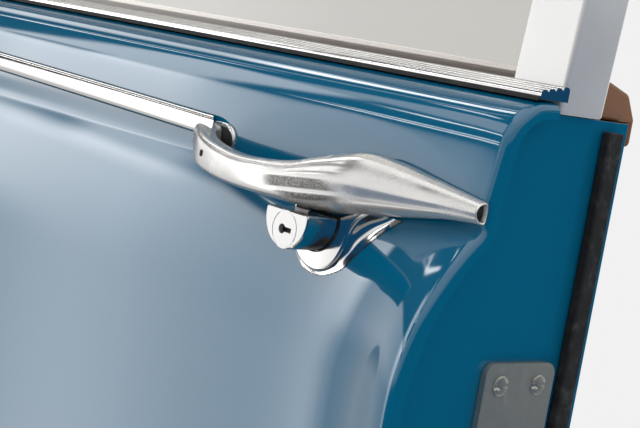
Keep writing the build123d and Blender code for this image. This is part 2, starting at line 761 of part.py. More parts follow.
def sill_capping():
    """Inner capping along the sill, its near edge in line with the window frame."""
    near, far = CAPPING_Y
    lip = INNER_Y + 0.2 + TRIM_T + 0.4
    section = [
        (near, SHELL_TOP + 0.3),
        (near, SHELL_TOP + CAPPING_H - 3),
        (near + 6, SHELL_TOP + CAPPING_H),
        (far - 6, SHELL_TOP + CAPPING_H - 4),
        (far, SHELL_TOP + 2),
        (far, SHELL_TOP - 9.5),
        (lip, SHELL_TOP - 9.5),
        (lip, SHELL_TOP + 0.3),
    ]
    faces = []
    for x in (FRONT_END + 14, REAR_END - 12):
        shift = [frame_plan(x)] * 3 + [0.0] * (len(section) - 3)
        pts = [at(x, y + dy, z) for (y, z), dy in zip(section, shift)]
        faces.append(make_face([Line(pts[k], pts[(k + 1) % len(pts)]) for k in range(len(pts))]))
    return loft(faces, ruled=True)


def on_trim(x, z):
    """A point on the trim panel's face, x from the door's front edge, z from the strip's axis."""
    return Vector(DOOR_FRONT_X + x, inner_face(0.2 + TRIM_T + 0.2), STRIP_Z + z)


def armrest():
    """Padded armrest, its ends rounded in plan and its long edges eased."""
    a = on_trim(ARMREST_X[0], ARMREST_Z[0])
    b = on_trim(ARMREST_X[1], ARMREST_Z[1])
    solid = block((a.X, b.X), (a.Y, a.Y + ARMREST_D), (a.Z, b.Z))
    solid = fillet(solid.edges().filter_by(Axis.Z).sort_by(Axis.Y)[-2:], ARMREST_END_R)
    return chamfer(solid.faces().sort_by(Axis.Z)[-1].edges().sort_by(Axis.Y)[1:], ARMREST_EASE)


def tapered_arm(start, along, reach, root_r, tip_r):
    """Flat arm whose sides run straight between two round ends."""
    across = Vector(0, 1, 0).cross(along)
    tip = start + along * reach
    tilt = math.asin((root_r - tip_r) / reach)
    side = across * math.cos(tilt) + along * math.sin(tilt)
    other = across * -math.cos(tilt) + along * math.sin(tilt)
    outline = [
        ThreePointArc(start + other * root_r, start - along * root_r, start + side * root_r),
        Line(start + side * root_r, tip + side * tip_r),
        ThreePointArc(tip + side * tip_r, tip + along * tip_r, tip + other * tip_r),
        Line(tip + other * tip_r, start + other * root_r),
    ]
    return extrude(make_face(outline), amount=ARM_T, dir=(0, 1, 0))


def turned_arm(foot, along, reach, tip_r):
    """Round boss on the trim with a tapering arm on its end."""
    boss = cyl(foot + Vector(0, BOSS_L / 2, 0), (0, 1, 0), BOSS_R, BOSS_L)
    return boss + tapered_arm(foot + Vector(0, BOSS_L, 0), along, reach, BOSS_R, tip_r)


def window_winder():
    return turned_arm(on_trim(WINDER_X, WINDER_Z), Vector(0, 0, -1), WINDER_REACH, WINDER_TIP_R)


def winder_knob():
    centre = on_trim(WINDER_X, WINDER_Z - WINDER_REACH)
    start = BOSS_L + ARM_T + SEAT_GAP
    return cyl(centre + Vector(0, start + WINDER_KNOB_L / 2, 0), (0, 1, 0), WINDER_KNOB_R, WINDER_KNOB_L)


def inside_handle():
    return turned_arm(on_trim(LEVER_X, LEVER_Z), Vector(-1, 0, 0), LEVER_REACH, LEVER_TIP_R)


def shut_block(y, z, length):
    """A block standing on the rear shut face."""
    x1 = DOOR_REAR_X - SHUT_SET_BACK + 0.2
    return block((x1, x1 + length), (SKIN_Y + y[0], SKIN_Y + y[1]), (STRIP_Z + z[0], STRIP_Z + z[1]))


def door_latch():
    """Latch plate with a raised collar round its slanted slam bolt."""
    plate = shut_block(LATCH_Y, LATCH_Z, LATCH_T)
    plate = fillet(plate.edges().filter_by(Axis.X), LATCH_CORNER_R)
    rim = LATCH_HOUSING_RIM
    collar_y = (LATCH_BOLT_Y[0] - rim, LATCH_BOLT_Y[1] + rim)
    collar_z = (LATCH_BOLT_Z[0] - rim, LATCH_BOLT_Z[1] + rim)
    collar = shut_block(collar_y, collar_z, LATCH_HOUSING_L)
    collar = fillet(collar.edges().filter_by(Axis.X), rim - 1)
    bolt = shut_block(LATCH_BOLT_Y, LATCH_BOLT_Z, LATCH_BOLT_L)
    slant = bolt.edges().filter_by(Axis.Z).group_by(Axis.X)[-1].sort_by(Axis.Y)[-1:]
    bolt = chamfer(slant, LATCH_BOLT_L - LATCH_HOUSING_L, LATCH_BOLT_Y[1] - LATCH_BOLT_Y[0] - rim)
    return plate + collar + bolt


def dovetail():
    """Male half of the door's dovetail, wider at its end than at its root."""
    x0 = DOOR_REAR_X - SHUT_SET_BACK + 0.2
    x1 = x0 + DOVETAIL_L
    low, high = STRIP_Z + DOVETAIL_Z[0], STRIP_Z + DOVETAIL_Z[1]
    cut = DOVETAIL_UNDERCUT
    corners = [(x0, 0, low + cut), (x1, 0, low), (x1, 0, high), (x0, 0, high - cut)]
    return side_prism(Polyline(corners, close=True).edges(), SKIN_Y + DOVETAIL_Y[0], SKIN_Y + DOVETAIL_Y[1])


PIECES = {
    "hinge_pillar_leaf_lower": lambda: pillar_leaf(0.0),
    "hinge_pillar_leaf_upper": lambda: pillar_leaf(UPPER_HINGE_Z),
    "hinge_pin_lower": lambda: hinge_pin(0.0),
    "hinge_pin_upper": lambda: hinge_pin(UPPER_HINGE_Z),
    "hinge_door_leaf_lower": lambda: door_leaf(0.0),
    "hinge_door_leaf_upper": lambda: door_leaf(UPPER_HINGE_Z),
    "outer_skin": outer_skin,
    "inner_shell": inner_shell,
    "window_frame": window_frame,
    "window_run": window_run,
    "window_glass": window_glass,
    "division_bar": division_bar,
    "quarter_light_frame": quarter_light_frame,
    "quarter_light_glass": quarter_light_glass,
    "quarter_sill": quarter_sill,
    "sill_finisher": sill_finisher,
    "sill_seal_outer": sill_seal_outer,
    "side_strip": side_strip,
    "handle_grip": handle_grip,
    "handle_pedestal": handle_pedestal,
    "handle_gasket": handle_gasket,
    "push_button": push_button,
    "button_seal": button_seal,
    "lock_plug": lock_plug,
    "door_seal": door_seal,
    "trim_panel": trim_panel,
    "sill_capping": sill_capping,
    "armrest": armrest,
    "window_winder": window_winder,
    "winder_knob": winder_knob,
    "inside_handle": inside_handle,
    "door_latch": door_latch,
    "dovetail": dovetail,
}

os.makedirs("parts", exist_ok=True)
for name, make in PIECES.items():
    shape = make()
    export_step(shape, f"parts/{name}.step")
    print(name, round(shape.volume), "mm3", len(shape.solids()), "solid", flush=True)
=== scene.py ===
# %% [markdown]
# This lesson dresses the front door of a 1950s saloon car.
# The door comes in as a fixed frame of solids in metres, and each cell below adds one piece or finish to it.
# Nothing in the frame is moved: a piece either gives a solid a better material, or stands in for it.

import math

import bmesh
import bpy
import numpy as np
from mathutils import Matrix, Vector


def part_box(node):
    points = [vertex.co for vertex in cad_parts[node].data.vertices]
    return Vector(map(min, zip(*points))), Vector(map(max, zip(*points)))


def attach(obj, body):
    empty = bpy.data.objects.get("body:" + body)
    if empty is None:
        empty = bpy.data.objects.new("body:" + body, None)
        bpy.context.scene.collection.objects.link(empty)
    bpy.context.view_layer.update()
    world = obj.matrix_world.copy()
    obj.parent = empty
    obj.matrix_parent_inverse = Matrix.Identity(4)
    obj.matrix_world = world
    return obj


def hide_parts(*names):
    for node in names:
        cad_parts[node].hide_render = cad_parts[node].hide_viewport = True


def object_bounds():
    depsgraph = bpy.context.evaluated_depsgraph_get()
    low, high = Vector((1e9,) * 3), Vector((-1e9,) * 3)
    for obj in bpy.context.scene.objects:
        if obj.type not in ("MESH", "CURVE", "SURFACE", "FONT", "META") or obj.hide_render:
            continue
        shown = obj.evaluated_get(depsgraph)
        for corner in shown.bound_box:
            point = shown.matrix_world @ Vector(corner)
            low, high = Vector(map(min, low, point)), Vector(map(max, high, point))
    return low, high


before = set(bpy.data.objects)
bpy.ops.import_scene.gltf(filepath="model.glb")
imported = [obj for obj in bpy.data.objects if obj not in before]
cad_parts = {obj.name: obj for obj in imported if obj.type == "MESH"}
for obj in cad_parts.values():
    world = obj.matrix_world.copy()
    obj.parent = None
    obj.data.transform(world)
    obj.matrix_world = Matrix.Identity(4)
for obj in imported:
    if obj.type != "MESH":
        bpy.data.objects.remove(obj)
cad_low, cad_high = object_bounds()
print("solids", len(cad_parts), "box", cad_low, cad_high)

# %% [markdown]
# Everything on the outside was measured from the end of the handle's tail, in millimetres.
# Two helpers turn such measures into the frame's metres and back, and the zero point itself is read from the
# solids. That way the looks follow the construction if a size is changed there.

# %% Places measured from the handle's tail
MM = 0.001
skin_low, skin_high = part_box("outer_skin")
ZERO = np.array([skin_high.x - 3 * MM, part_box("inner_shell")[1].y - 74 * MM, skin_low.z + 600 * MM])


def place(points):
    """Millimetres from the tail to metres in the frame, for one point or a table of them."""
    return np.asarray(points, float) * MM + ZERO


def solid_box(node):
    """Low and high corner of a solid's box, in millimetres from the tail."""
    return [(np.array(corner) - ZERO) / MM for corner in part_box(node)]


(FRONT, _, LOWEST), (REAR, _, _) = solid_box("outer_skin")
print("door runs from", round(FRONT, 1), "to", round(REAR, 1), "mm, lowest", round(LOWEST, 1))

# %% [markdown]
# The photograph was taken with a long lens, close to the rear edge of the door and a little above the handle.
# A camera needs a place, a lens and a turn. The turn is easiest to give by the three directions
# that run right, down and forward in the picture, because a camera's own axes are right, up and backward.

# %% Camera
CAMERA_PLACE = (381.55, -414.84, 54.63)
CAMERA_RIGHT = (0.62902754, 0.75929386, 0.16672487)
CAMERA_DOWN = (0.19796402, 0.05094154, -0.97888467)
CAMERA_AHEAD = (-0.75175435, 0.64875095, -0.11826923)
LENS_MM = 84.375

camera_data = bpy.data.cameras.new("camera")
camera_data.lens = LENS_MM
camera_data.sensor_width = 36
camera_data.clip_start = 0.02
camera_data.clip_end = 60
camera = bpy.data.objects.new("camera", camera_data)
bpy.context.scene.collection.objects.link(camera)
turn = Matrix((CAMERA_RIGHT, -Vector(CAMERA_DOWN), -Vector(CAMERA_AHEAD))).transposed()
camera.matrix_world = Matrix.LocRotScale(Vector(place(CAMERA_PLACE)), turn.to_quaternion(), None)
bpy.context.scene.camera = camera
bpy.context.scene.view_settings.view_transform = "Standard"
print("camera stands at", tuple(round(v, 3) for v in camera.location))

# %% [markdown]
# Materials here are worked out with ordinary arithmetic. A Wire holds one output of a shader node,
# and adding, multiplying or subtracting Wires and numbers adds the Math node that does it.
# A Finish is one material: it sets the plain numbers of its shader and feeds Wires to the sockets that vary.

# %% Shader arithmetic
class Wire:
    """One output of a node, ready for arithmetic."""

    def __init__(self, sheet, socket):
        self.sheet = sheet
        self.socket = socket

    def maths(self, operation, *values):
        return self.sheet.node("ShaderNodeMath", {"operation": operation}, dict(enumerate(values)))

    def __add__(self, other):
        return self.maths("ADD", self, other)

    def __radd__(self, other):
        return self.maths("ADD", other, self)

    def __sub__(self, other):
        return self.maths("SUBTRACT", self, other)

    def __rsub__(self, other):
        return self.maths("SUBTRACT", other, self)

    def __mul__(self, other):
        return self.maths("MULTIPLY", self, other)

    def __rmul__(self, other):
        return self.maths("MULTIPLY", other, self)

    def __truediv__(self, other):
        return self.maths("DIVIDE", self, other)

    def clamp(self, low, high):
        return self.maths("MAXIMUM", low, self.maths("MINIMUM", high, self))

    def ramp(self, low, high):
        """0 below low, 1 above high, and smooth between."""
        values = {"Value": self, "From Min": low, "From Max": high}
        return self.sheet.node("ShaderNodeMapRange", {"interpolation_type": "SMOOTHSTEP"}, values)

    def between(self, low, high, softness):
        """1 between two values, falling off softly outside."""
        return self.ramp(low - softness, low + softness) * (1 - self.ramp(high - softness, high + softness))


class Sheet:
    """A node tree to work on: any node comes from its one method."""

    def __init__(self, tree):
        self.tree = tree

    def node(self, kind, settings=None, values=None, output=0):
        made = self.tree.nodes.new(kind)
        for name, value in (settings or {}).items():
            if name == "stops":
                for i, (position, colour) in enumerate(value):
                    stop = made.color_ramp.elements[i] if i < 2 else made.color_ramp.elements.new(position)
                    stop.position = position
                    stop.color = (*colour, 1)
            else:
                setattr(made, name, value)
        for name, value in (values or {}).items():
            self.feed(made.inputs[name], value)
        return Wire(self, made.outputs[output])

    def feed(self, socket, value):
        if isinstance(value, Wire):
            self.tree.links.new(value.socket, socket)
        elif isinstance(value, tuple) and socket.type == "RGBA":
            socket.default_value = (*value, 1)
        else:
            socket.default_value = value

    def blend(self, share, first, second):
        """Colour between two colours."""
        values = {"Factor": share, 6: first, 7: second}
        return self.node("ShaderNodeMix", {"data_type": "RGBA"}, values, output=2)

    def vector(self, operation, *values, output=0):
        return self.node("ShaderNodeVectorMath", {"operation": operation}, dict(enumerate(values)), output)

    def split(self, vector):
        """X, y and z of a vector."""
        return [self.node("ShaderNodeSeparateXYZ", {}, {0: vector}, output=k) for k in range(3)]

    def where(self):
        """Position on the piece, in metres."""
        return self.node("ShaderNodeTexCoord", output="Object")


class Finish(Sheet):
    """A material around one Principled shader."""

    def __init__(self, name, **plain):
        self.material = bpy.data.materials.new(name)
        self.material.use_nodes = True
        super().__init__(self.material.node_tree)
        self.shader = self.tree.nodes["Principled BSDF"]
        self.set(**plain)

    def set(self, **values):
        for socket, value in values.items():
            self.feed(self.shader.inputs[socket.replace("_", " ")], value)

    def noise(self, size_mm, detail=3.0, roughness=0.5, stretch=None):
        """Soft random value about 0 to 1 whose features are about that size, or stretched along each axis."""
        place_in = self.vector("MULTIPLY", self.where(), stretch) if stretch else self.where()
        values = {"Vector": place_in, "Scale": 1000 / size_mm, "Detail": detail, "Roughness": roughness}
        return self.node("ShaderNodeTexNoise", {}, values)

    def bump(self, height, distance_mm, strength=1.0):
        values = {"Height": height, "Distance": distance_mm * MM, "Strength": strength}
        self.set(Normal=self.node("ShaderNodeBump", {}, values))


print("shader arithmetic is ready")

# %% [markdown]
# The body colour is a deep solid blue under a gloss that has been polished for decades.
# The depth comes from two glossy layers: the pigment's own shine and a clear one over it.
# Fine swirls of polishing and a few specks of dust vary the roughness, so lamps leave soft edges.

# %% Body paint
def body_paint():
    paint = Finish("body_paint", Coat_Weight=1.0, Coat_Roughness=0.012, Coat_IOR=1.7)
    colour = paint.blend(paint.noise(160, detail=2), (0.0, 0.094, 0.186), (0.001, 0.110, 0.214))
    dust = paint.noise(0.8, detail=2, roughness=0.6).ramp(0.71, 0.78)
    patch = paint.noise(45, detail=3).ramp(0.45, 0.75)
    swirl = paint.noise(9, detail=5, roughness=0.65)
    paint.set(Base_Color=paint.blend(dust * patch * 0.10, colour, (0.42, 0.46, 0.50)))
    paint.set(Roughness=0.045 + swirl * 0.05)
    paint.bump(paint.noise(34, detail=1) + paint.noise(1.1, detail=1) * 0.003, 0.30, 0.05)
    return paint.material


BODY_PAINT = body_paint()
print("made", BODY_PAINT.name)

# %% [markdown]
# Old chrome plate is never a perfect mirror: it has a warm haze, fine pits and hairlines along its length.
# The haze goes into the roughness and a little into the colour, and the pits go into a bump.
# Very old plate is a little white as well, which is what a Metallic slightly under 1 gives.
# The same function makes the brighter trim and the handle. On the handle's swelling, two pitted bands are
# painted dark as shade and dark reflection.

# %% Chrome plate
# from, to and softness of each band of painted shade, in millimetres above the spot's middle
PAINTED_SHADE_BANDS = ((-1.2, 3.2, 0.35), (-5.6, -3.0, 0.3))


def tinted(colour, *shares):
    return tuple(c * share for c, share in zip(colour, shares))


def painted_shade_bands(plate, centre, reach):
    """1 on the grainy bands of painted shade inside an oval round centre, and 0 away from it."""
    offset = plate.vector("SUBTRACT", plate.where(), centre)
    away = plate.vector("LENGTH", plate.vector("DIVIDE", offset, reach), output=1)
    along, _, up = plate.split(offset)
    level = (up - along * 0.12) * 1000
    upper, lower = (level.between(*band) for band in PAINTED_SHADE_BANDS)
    grains = plate.noise(0.55, detail=3, roughness=0.75).ramp(0.34, 0.60)
    return (1 - away.ramp(0.62, 1.05)) * (upper + lower) * (0.45 + grains * 0.55)


def chrome_plate(name, colour, wear, base_roughness=0.05, shade_spot=None, haze_share=0.0):
    plate = Finish(name, Metallic=1.0 - haze_share)
    haze = plate.noise(22, detail=4, roughness=0.6).ramp(0.42, 0.70) * wear
    pits = plate.noise(0.55, detail=2, roughness=0.7).ramp(0.60, 0.72)
    lines = plate.noise(1.0, detail=2, stretch=(18.0, 900.0, 900.0)).ramp(0.5, 0.8) * wear
    streaks = plate.noise(1.0, detail=3, stretch=(9.0, 420.0, 420.0)).ramp(0.45, 0.72) * wear
    roughness = base_roughness + haze * 0.20 + lines * 0.03
    shade = plate.blend((pits * haze * 0.8).clamp(0, 1), colour, tinted(colour, 0.62, 0.62, 0.62))
    shade = plate.blend(streaks * 0.30, shade, tinted(colour, 0.80, 0.77, 0.70))
    if shade_spot:
        # painted shade and dark reflection: the bands are darkened in the colour, and also get rougher and
        # pitted
        painted_shade_and_pits = painted_shade_bands(plate, *shade_spot)
        shade = plate.blend(painted_shade_and_pits, shade, (0.15, 0.145, 0.135))
        roughness = roughness + painted_shade_and_pits * 0.25
        pits = pits + painted_shade_and_pits * 2
    plate.set(Base_Color=shade, Roughness=roughness)
    plate.bump(pits * haze * 1.2 + lines * 0.2, 0.05, 0.35)
    return plate.material


BRIGHT = (0.93, 0.92, 0.905)
# middle and reach of the painted shade bands on the handle's swelling
PAINTED_SHADE_SPOT = (tuple(place((-80.0, -31.5, -6.8))), (0.024, 0.014, 0.0075))
HANDLE_CHROME = chrome_plate("handle_chrome", (0.97, 0.955, 0.935), 0.9, 0.16, PAINTED_SHADE_SPOT, haze_share=0.20)
BUTTON_CHROME = chrome_plate("button_chrome", BRIGHT, 0.5)
TRIM_CHROME = chrome_plate("trim_chrome", BRIGHT, 0.35)
FRAME_CHROME = chrome_plate("frame_chrome", (0.88, 0.875, 0.865), 0.12, 0.24, haze_share=0.35)
print("made", HANDLE_CHROME.name, TRIM_CHROME.name, FRAME_CHROME.name)

# %% [markdown]
# The lock plug and the button's end are plated too, but brushed to a satin face that stays pale from all
# sides. The latch and hinges are plain steel with a dull grey skin and a trace of rust here and there.

# %% Satin face and bare steel
def satin_face():
    face = Finish("satin_face", Metallic=0.85)
    lines = face.noise(1.0, detail=3, stretch=(60.0, 400.0, 1500.0))
    face.set(Base_Color=face.blend(lines, (0.78, 0.775, 0.765), (0.92, 0.91, 0.895)))
    face.set(Roughness=0.28 + lines * 0.14)
    face.bump(lines, 0.02, 0.3)
    return face.material


def bare_steel(name, colour, rust_share):
    steel = Finish(name)
    grain = steel.noise(3.5, detail=5, roughness=0.65)
    rust = steel.noise(14, detail=6, roughness=0.7).ramp(0.62, 0.72) * rust_share
    tone = steel.blend(grain, tinted(colour, 0.82, 0.82, 0.82), colour)
    steel.set(Base_Color=steel.blend(rust, tone, (0.20, 0.075, 0.03)), Metallic=0.9 - rust * 0.8)
    steel.set(Roughness=0.30 + grain * 0.22 + rust * 0.3)
    steel.bump(grain * 0.5 + rust, 0.08, 0.4)
    return steel.material


SATIN_FACE = satin_face()
HINGE_STEEL = bare_steel("hinge_steel", (0.42, 0.43, 0.44), 0.5)
PIN_STEEL = bare_steel("hinge_pin_steel", (0.60, 0.60, 0.61), 0.15)
LATCH_STEEL = bare_steel("latch_steel", (0.66, 0.64, 0.56), 0.2)
LOCK_WORKS = bare_steel("lock_works", (0.03, 0.03, 0.032), 0.3)
print("made", SATIN_FACE.name, HINGE_STEEL.name, LATCH_STEEL.name)

# %% [markdown]
# Rubber seals are nearly black, matt, and a little grey where they have dried and gathered dust.
# Glass is clear with a faint grey tint at this thickness, and a thin film of dust that varies its roughness.

# %% Rubber and glass
def black_rubber():
    rubber = Finish("black_rubber")
    bloom = rubber.noise(6, detail=5, roughness=0.6)
    rubber.set(Base_Color=rubber.blend(bloom.ramp(0.45, 0.8), (0.010, 0.010, 0.011), (0.045, 0.044, 0.042)))
    rubber.set(Roughness=0.50 + bloom * 0.3)
    rubber.bump(bloom, 0.08, 0.4)
    return rubber.material


def window_glass():
    glass = Finish("window_glass", IOR=1.5, Transmission_Weight=1.0, Base_Color=(0.62, 0.61, 0.575))
    glass.set(Roughness=glass.noise(28, detail=6, roughness=0.7).ramp(0.35, 0.9) * 0.05)
    return glass.material


BLACK_RUBBER = black_rubber()
WINDOW_GLASS = window_glass()
print("made", BLACK_RUBBER.name, WINDOW_GLASS.name)

# %% [markdown]
# Inside, the trim is hide on board, the capping is a varnished wood rail and the winder's knob is cast
# plastic. Hide has a grain of small cells with darker creases, which a Voronoi texture gives, on top of
# broad soft shading. Where it is sewn into pleats, shade is painted along the seams as darker lines,
# so their places are set here.

# %% Inside finishes
PLEATS_X = (FRONT + 74.0, REAR - 70.0)      # the sewn part of the trim board
PLEATS_Z = (-506.0, -66.0)
PLEAT_COUNT = 25
SEAM_Z = tuple(place((0, 0, z))[2] for z in PLEATS_Z)
SEAM_PITCH = (PLEATS_X[1] - PLEATS_X[0]) / PLEAT_COUNT * MM


def trim_hide(name, seam_pitch=None, seam_start=0.0):
    hide = Finish(name, Specular_IOR_Level=0.4)
    values = {"Vector": hide.where(), "Scale": 520.0, "Randomness": 1.0}
    crease = hide.node("ShaderNodeTexVoronoi", {"feature": "DISTANCE_TO_EDGE"}, values).ramp(0.0, 0.12)
    tone = hide.noise(70, detail=4)
    colour = hide.blend(tone, (0.290, 0.125, 0.050), (0.385, 0.180, 0.078))
    colour = hide.blend((1 - crease) * 0.35, colour, (0.13, 0.052, 0.020))
    if seam_pitch:
        # painted shade: the lines along the seams are darkened where the pleats' valleys would be in shade
        x, _, z = hide.split(hide.where())
        pleats = (x - seam_start) / seam_pitch
        painted_seam_shade = (1 - pleats.maths("PINGPONG", pleats, 0.5).ramp(0.0, 0.10)) * z.between(*SEAM_Z, 0.004)
        colour = hide.blend(painted_seam_shade * 0.75, colour, (0.055, 0.022, 0.010))
    hide.set(Base_Color=colour, Roughness=0.42 + tone * 0.18)
    hide.bump(crease + hide.noise(7, detail=3) * 0.5, 0.18, 0.5)
    return hide.material


def capping_wood():
    wood = Finish("capping_wood", Coat_Weight=0.6, Coat_Roughness=0.08)
    grain = wood.noise(1.0, detail=6, roughness=0.6, stretch=(9.0, 320.0, 320.0))
    broad = wood.noise(1.0, detail=2, stretch=(2.5, 40.0, 40.0))
    colour = wood.blend(grain, (0.15, 0.060, 0.024), (0.34, 0.160, 0.070))
    wood.set(Base_Color=wood.blend(broad * 0.5, colour, (0.10, 0.038, 0.015)), Roughness=0.24 + grain * 0.16)
    wood.bump(grain, 0.06, 0.25)
    return wood.material


def knob_plastic():
    plastic = Finish("knob_plastic")
    marble = plastic.noise(11, detail=4, roughness=0.6)
    plastic.set(Base_Color=plastic.blend(marble, (0.52, 0.44, 0.32), (0.66, 0.59, 0.46)))
    plastic.set(Roughness=0.18 + marble * 0.14)
    return plastic.material


TRIM_HIDE = trim_hide("trim_hide")
SEWN_HIDE = trim_hide("sewn_hide", SEAM_PITCH, place((PLEATS_X[0], 0, 0))[0])
CAPPING_WOOD = capping_wood()
KNOB_PLASTIC = knob_plastic()
print("made", TRIM_HIDE.name, CAPPING_WOOD.name, KNOB_PLASTIC.name)

# %% [markdown]
# Most pieces are built as stacks: rows of points that a rule places, joined by four-sided faces. A row that
# closes on itself is a ring, so a stack of rings is a tube, and filling its first or last ring caps it.
# One function turns points and faces into an object, gives it its finish and lets it ride on its body.

# %% Mesh helpers
DOOR = "door"
ENDS = (0, -1)      # first and last row of a stack, for a piece that is closed at both


def grid_faces(rows, columns, close_columns=False, start=0):
    """Faces of a grid of points numbered row by row."""
    faces = []
    for r in range(rows - 1):
        for c in range(columns if close_columns else columns - 1):
            here, there = start + r * columns, start + (r + 1) * columns
            after = (c + 1) % columns
            faces.append((here + c, here + after, there + after, there + c))
    return faces


def make_piece(name, points, faces, material, stands_for=(), sharp=35.0):
    """An object in the frame, from points in metres."""
    mesh = bpy.data.meshes.new(name)
    mesh.from_pydata([tuple(p) for p in points], [], faces)
    mesh.materials.append(material)
    mesh.validate()
    work = bmesh.new()
    work.from_mesh(mesh)
    bmesh.ops.recalc_face_normals(work, faces=work.faces)
    work.to_mesh(mesh)
    work.free()
    mesh.shade_smooth()
    mesh.set_sharp_from_angle(angle=math.radians(sharp))
    piece = bpy.data.objects.new(name, mesh)
    bpy.context.scene.collection.objects.link(piece)
    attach(piece, DOOR)
    if stands_for:
        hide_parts(*stands_for)
    print(name, len(points), "points", len(faces), "faces")
    return piece


def stacked(name, stacks, material, stands_for=(), caps=(), closed=True, sharp=50.0):
    """A piece from stacks of equal rows in millimetres. Caps are the rows to fill, as numbers."""
    points, faces = [], []
    for rows in stacks:
        start, count = len(points), len(rows[0])
        faces += grid_faces(len(rows), count, closed, start)
        for cap in caps:
            first = start + cap % len(rows) * count
            faces.append(tuple(range(first, first + count)))
        points += np.concatenate(rows).tolist()
    return make_piece(name, place(points), faces, material, stands_for, sharp)


def at_depth(outline, y):
    """An outline of x and z pairs as points, at one depth or at a depth for each."""
    return np.insert(outline, 1, y, axis=1)


def full_turn(count):
    return np.linspace(0, 2 * math.pi, count, endpoint=False)


def squarer(value, power):
    """A sine or cosine to a power with its sign kept. Powers under 1 turn an oval towards a box."""
    return np.sign(value) * abs(value) ** power


def lengths(line):
    """Distance along a line at each of its points."""
    return np.concatenate([[0], np.cumsum(np.linalg.norm(np.diff(line, axis=0), axis=1))])


def evenly(line, count, closed=False):
    """Points evenly spaced along a line. An open line keeps both its ends."""
    line = np.vstack([line, line[:1]]) if closed else line
    length = lengths(line)
    even = np.linspace(0, length[-1], count, endpoint=not closed)
    return np.stack([np.interp(even, length, column) for column in line.T], 1)


def bell(reach, spread):
    """Weights of a soft average over that many neighbours on each side."""
    weights = np.exp(-0.5 * (np.arange(-reach, reach + 1) / spread) ** 2)
    return weights / weights.sum()


def smooth(values, spread):
    """Evens out a table along its rows."""
    reach = int(4 * spread)
    before, after = 2 * values[:1] - values[reach:0:-1], 2 * values[-1:] - values[-2:-reach - 2:-1]
    padded = np.concatenate([before, values, after])
    return np.stack([np.convolve(column, bell(reach, spread), "valid") for column in padded.T], 1)


def arc(first, middle, last, count):
    """Points on the circle through three points, both ends included."""
    a, b, c = (np.array(p, float) for p in (first, middle, last))
    centre = np.linalg.solve(2 * np.array([b - a, c - a]), [b @ b - a @ a, c @ c - a @ a])
    angles = np.unwrap([math.atan2(*(p - centre)[::-1]) for p in (a, b, c)])
    angle = np.linspace(angles[0], angles[2], count)
    return centre + np.linalg.norm(a - centre) * np.stack([np.cos(angle), np.sin(angle)], 1)


def through(knots, table, wanted):
    """Smooth curve through the rows of a table, Hermite spans with neighbouring slopes."""
    slopes = np.gradient(table, knots, axis=0)
    i = np.clip(np.searchsorted(knots, wanted, side="right") - 1, 0, len(knots) - 2)
    span = (knots[i + 1] - knots[i])[:, None]
    u = (wanted - knots[i])[:, None] / span
    start = (2 * u**3 - 3 * u**2 + 1) * table[i] + (u**3 - 2 * u**2 + u) * span * slopes[i]
    return start + (-2 * u**3 + 3 * u**2) * table[i + 1] + (u**3 - u**2) * span * slopes[i + 1]


print("mesh helpers are ready")

# %% [markdown]
# The skin is one pressing. Its section turns from the sill's lip over a rounded shoulder, runs down the
# flank, steps in under the side strip and then swells into a hip, deepest at the rear edge of the door.
# Behind the handle it is pressed in a little, which leaves room for the fingers. A pressing has no sharp
# corners, so each section is drawn with lines and arcs and then evened out along its length.

# %% Outer skin: its section
SILL_LIP = (22.0, 43.8)
SILL_TURN = (13.0, 43.4)
SHOULDER_MIDDLE = (5.2, 39.6)
SHOULDER_END = (-0.6, 34.2)
FACET_END = (-3.3, 27.4)
FLANK_END = (-7.0, 2.5)
SHELF_START = (-6.2, -7.0)
BOTTOM_Y = -16.0
SHARE_OF_SAMPLES = (14, 30, 14, 40, 16, 150, 40)
PRESS_SOFTNESS = 3.6
PLAN_FULLEST = -300.0       # where the skin's slight bow in plan stands out most, and the bow's radius
PLAN_RADIUS = 30000.0
HIP_LEAST = 9.0             # how far the hip stands out everywhere, and what its two ends add
HIP_REAR = 25.1
HIP_REAR_REACH = 42.0
HIP_FRONT = 6.0
HIP_HEIGHT = 66.0
CREST_DROP = 24.0           # how far below the hip's crest a section goes on
SCOOP_CENTRE = (-85.0, -4.0)
SCOOP_HALF = (84.0, 30.0)
SCOOP_DEPTH = 1.1


def plan(x):
    """Inward shift of the skin along the door, from its slight bow in plan."""
    return ((x - PLAN_FULLEST) ** 2 - PLAN_FULLEST**2) / (2 * PLAN_RADIUS)


def hip_depth(x):
    """How far the hip below the strip stands out."""
    behind = HIP_REAR / (1 + (max(REAR + 12.0 - x, 0.0) / HIP_REAR_REACH) ** 3)
    ahead = HIP_FRONT * max((x - FRONT / 2) / (FRONT - FRONT / 2), 0.0) ** 2
    return HIP_LEAST + behind + ahead


def scoop(x, z):
    """How far the skin is pressed in behind the handle, a shallow oval hollow for the fingers."""
    across, up = SCOOP_HALF
    away = np.clip(np.hypot((x - SCOOP_CENTRE[0]) / across, (z - SCOOP_CENTRE[1]) / up), 0, 1)
    return SCOOP_DEPTH * (1 + np.cos(math.pi * away)) / 2


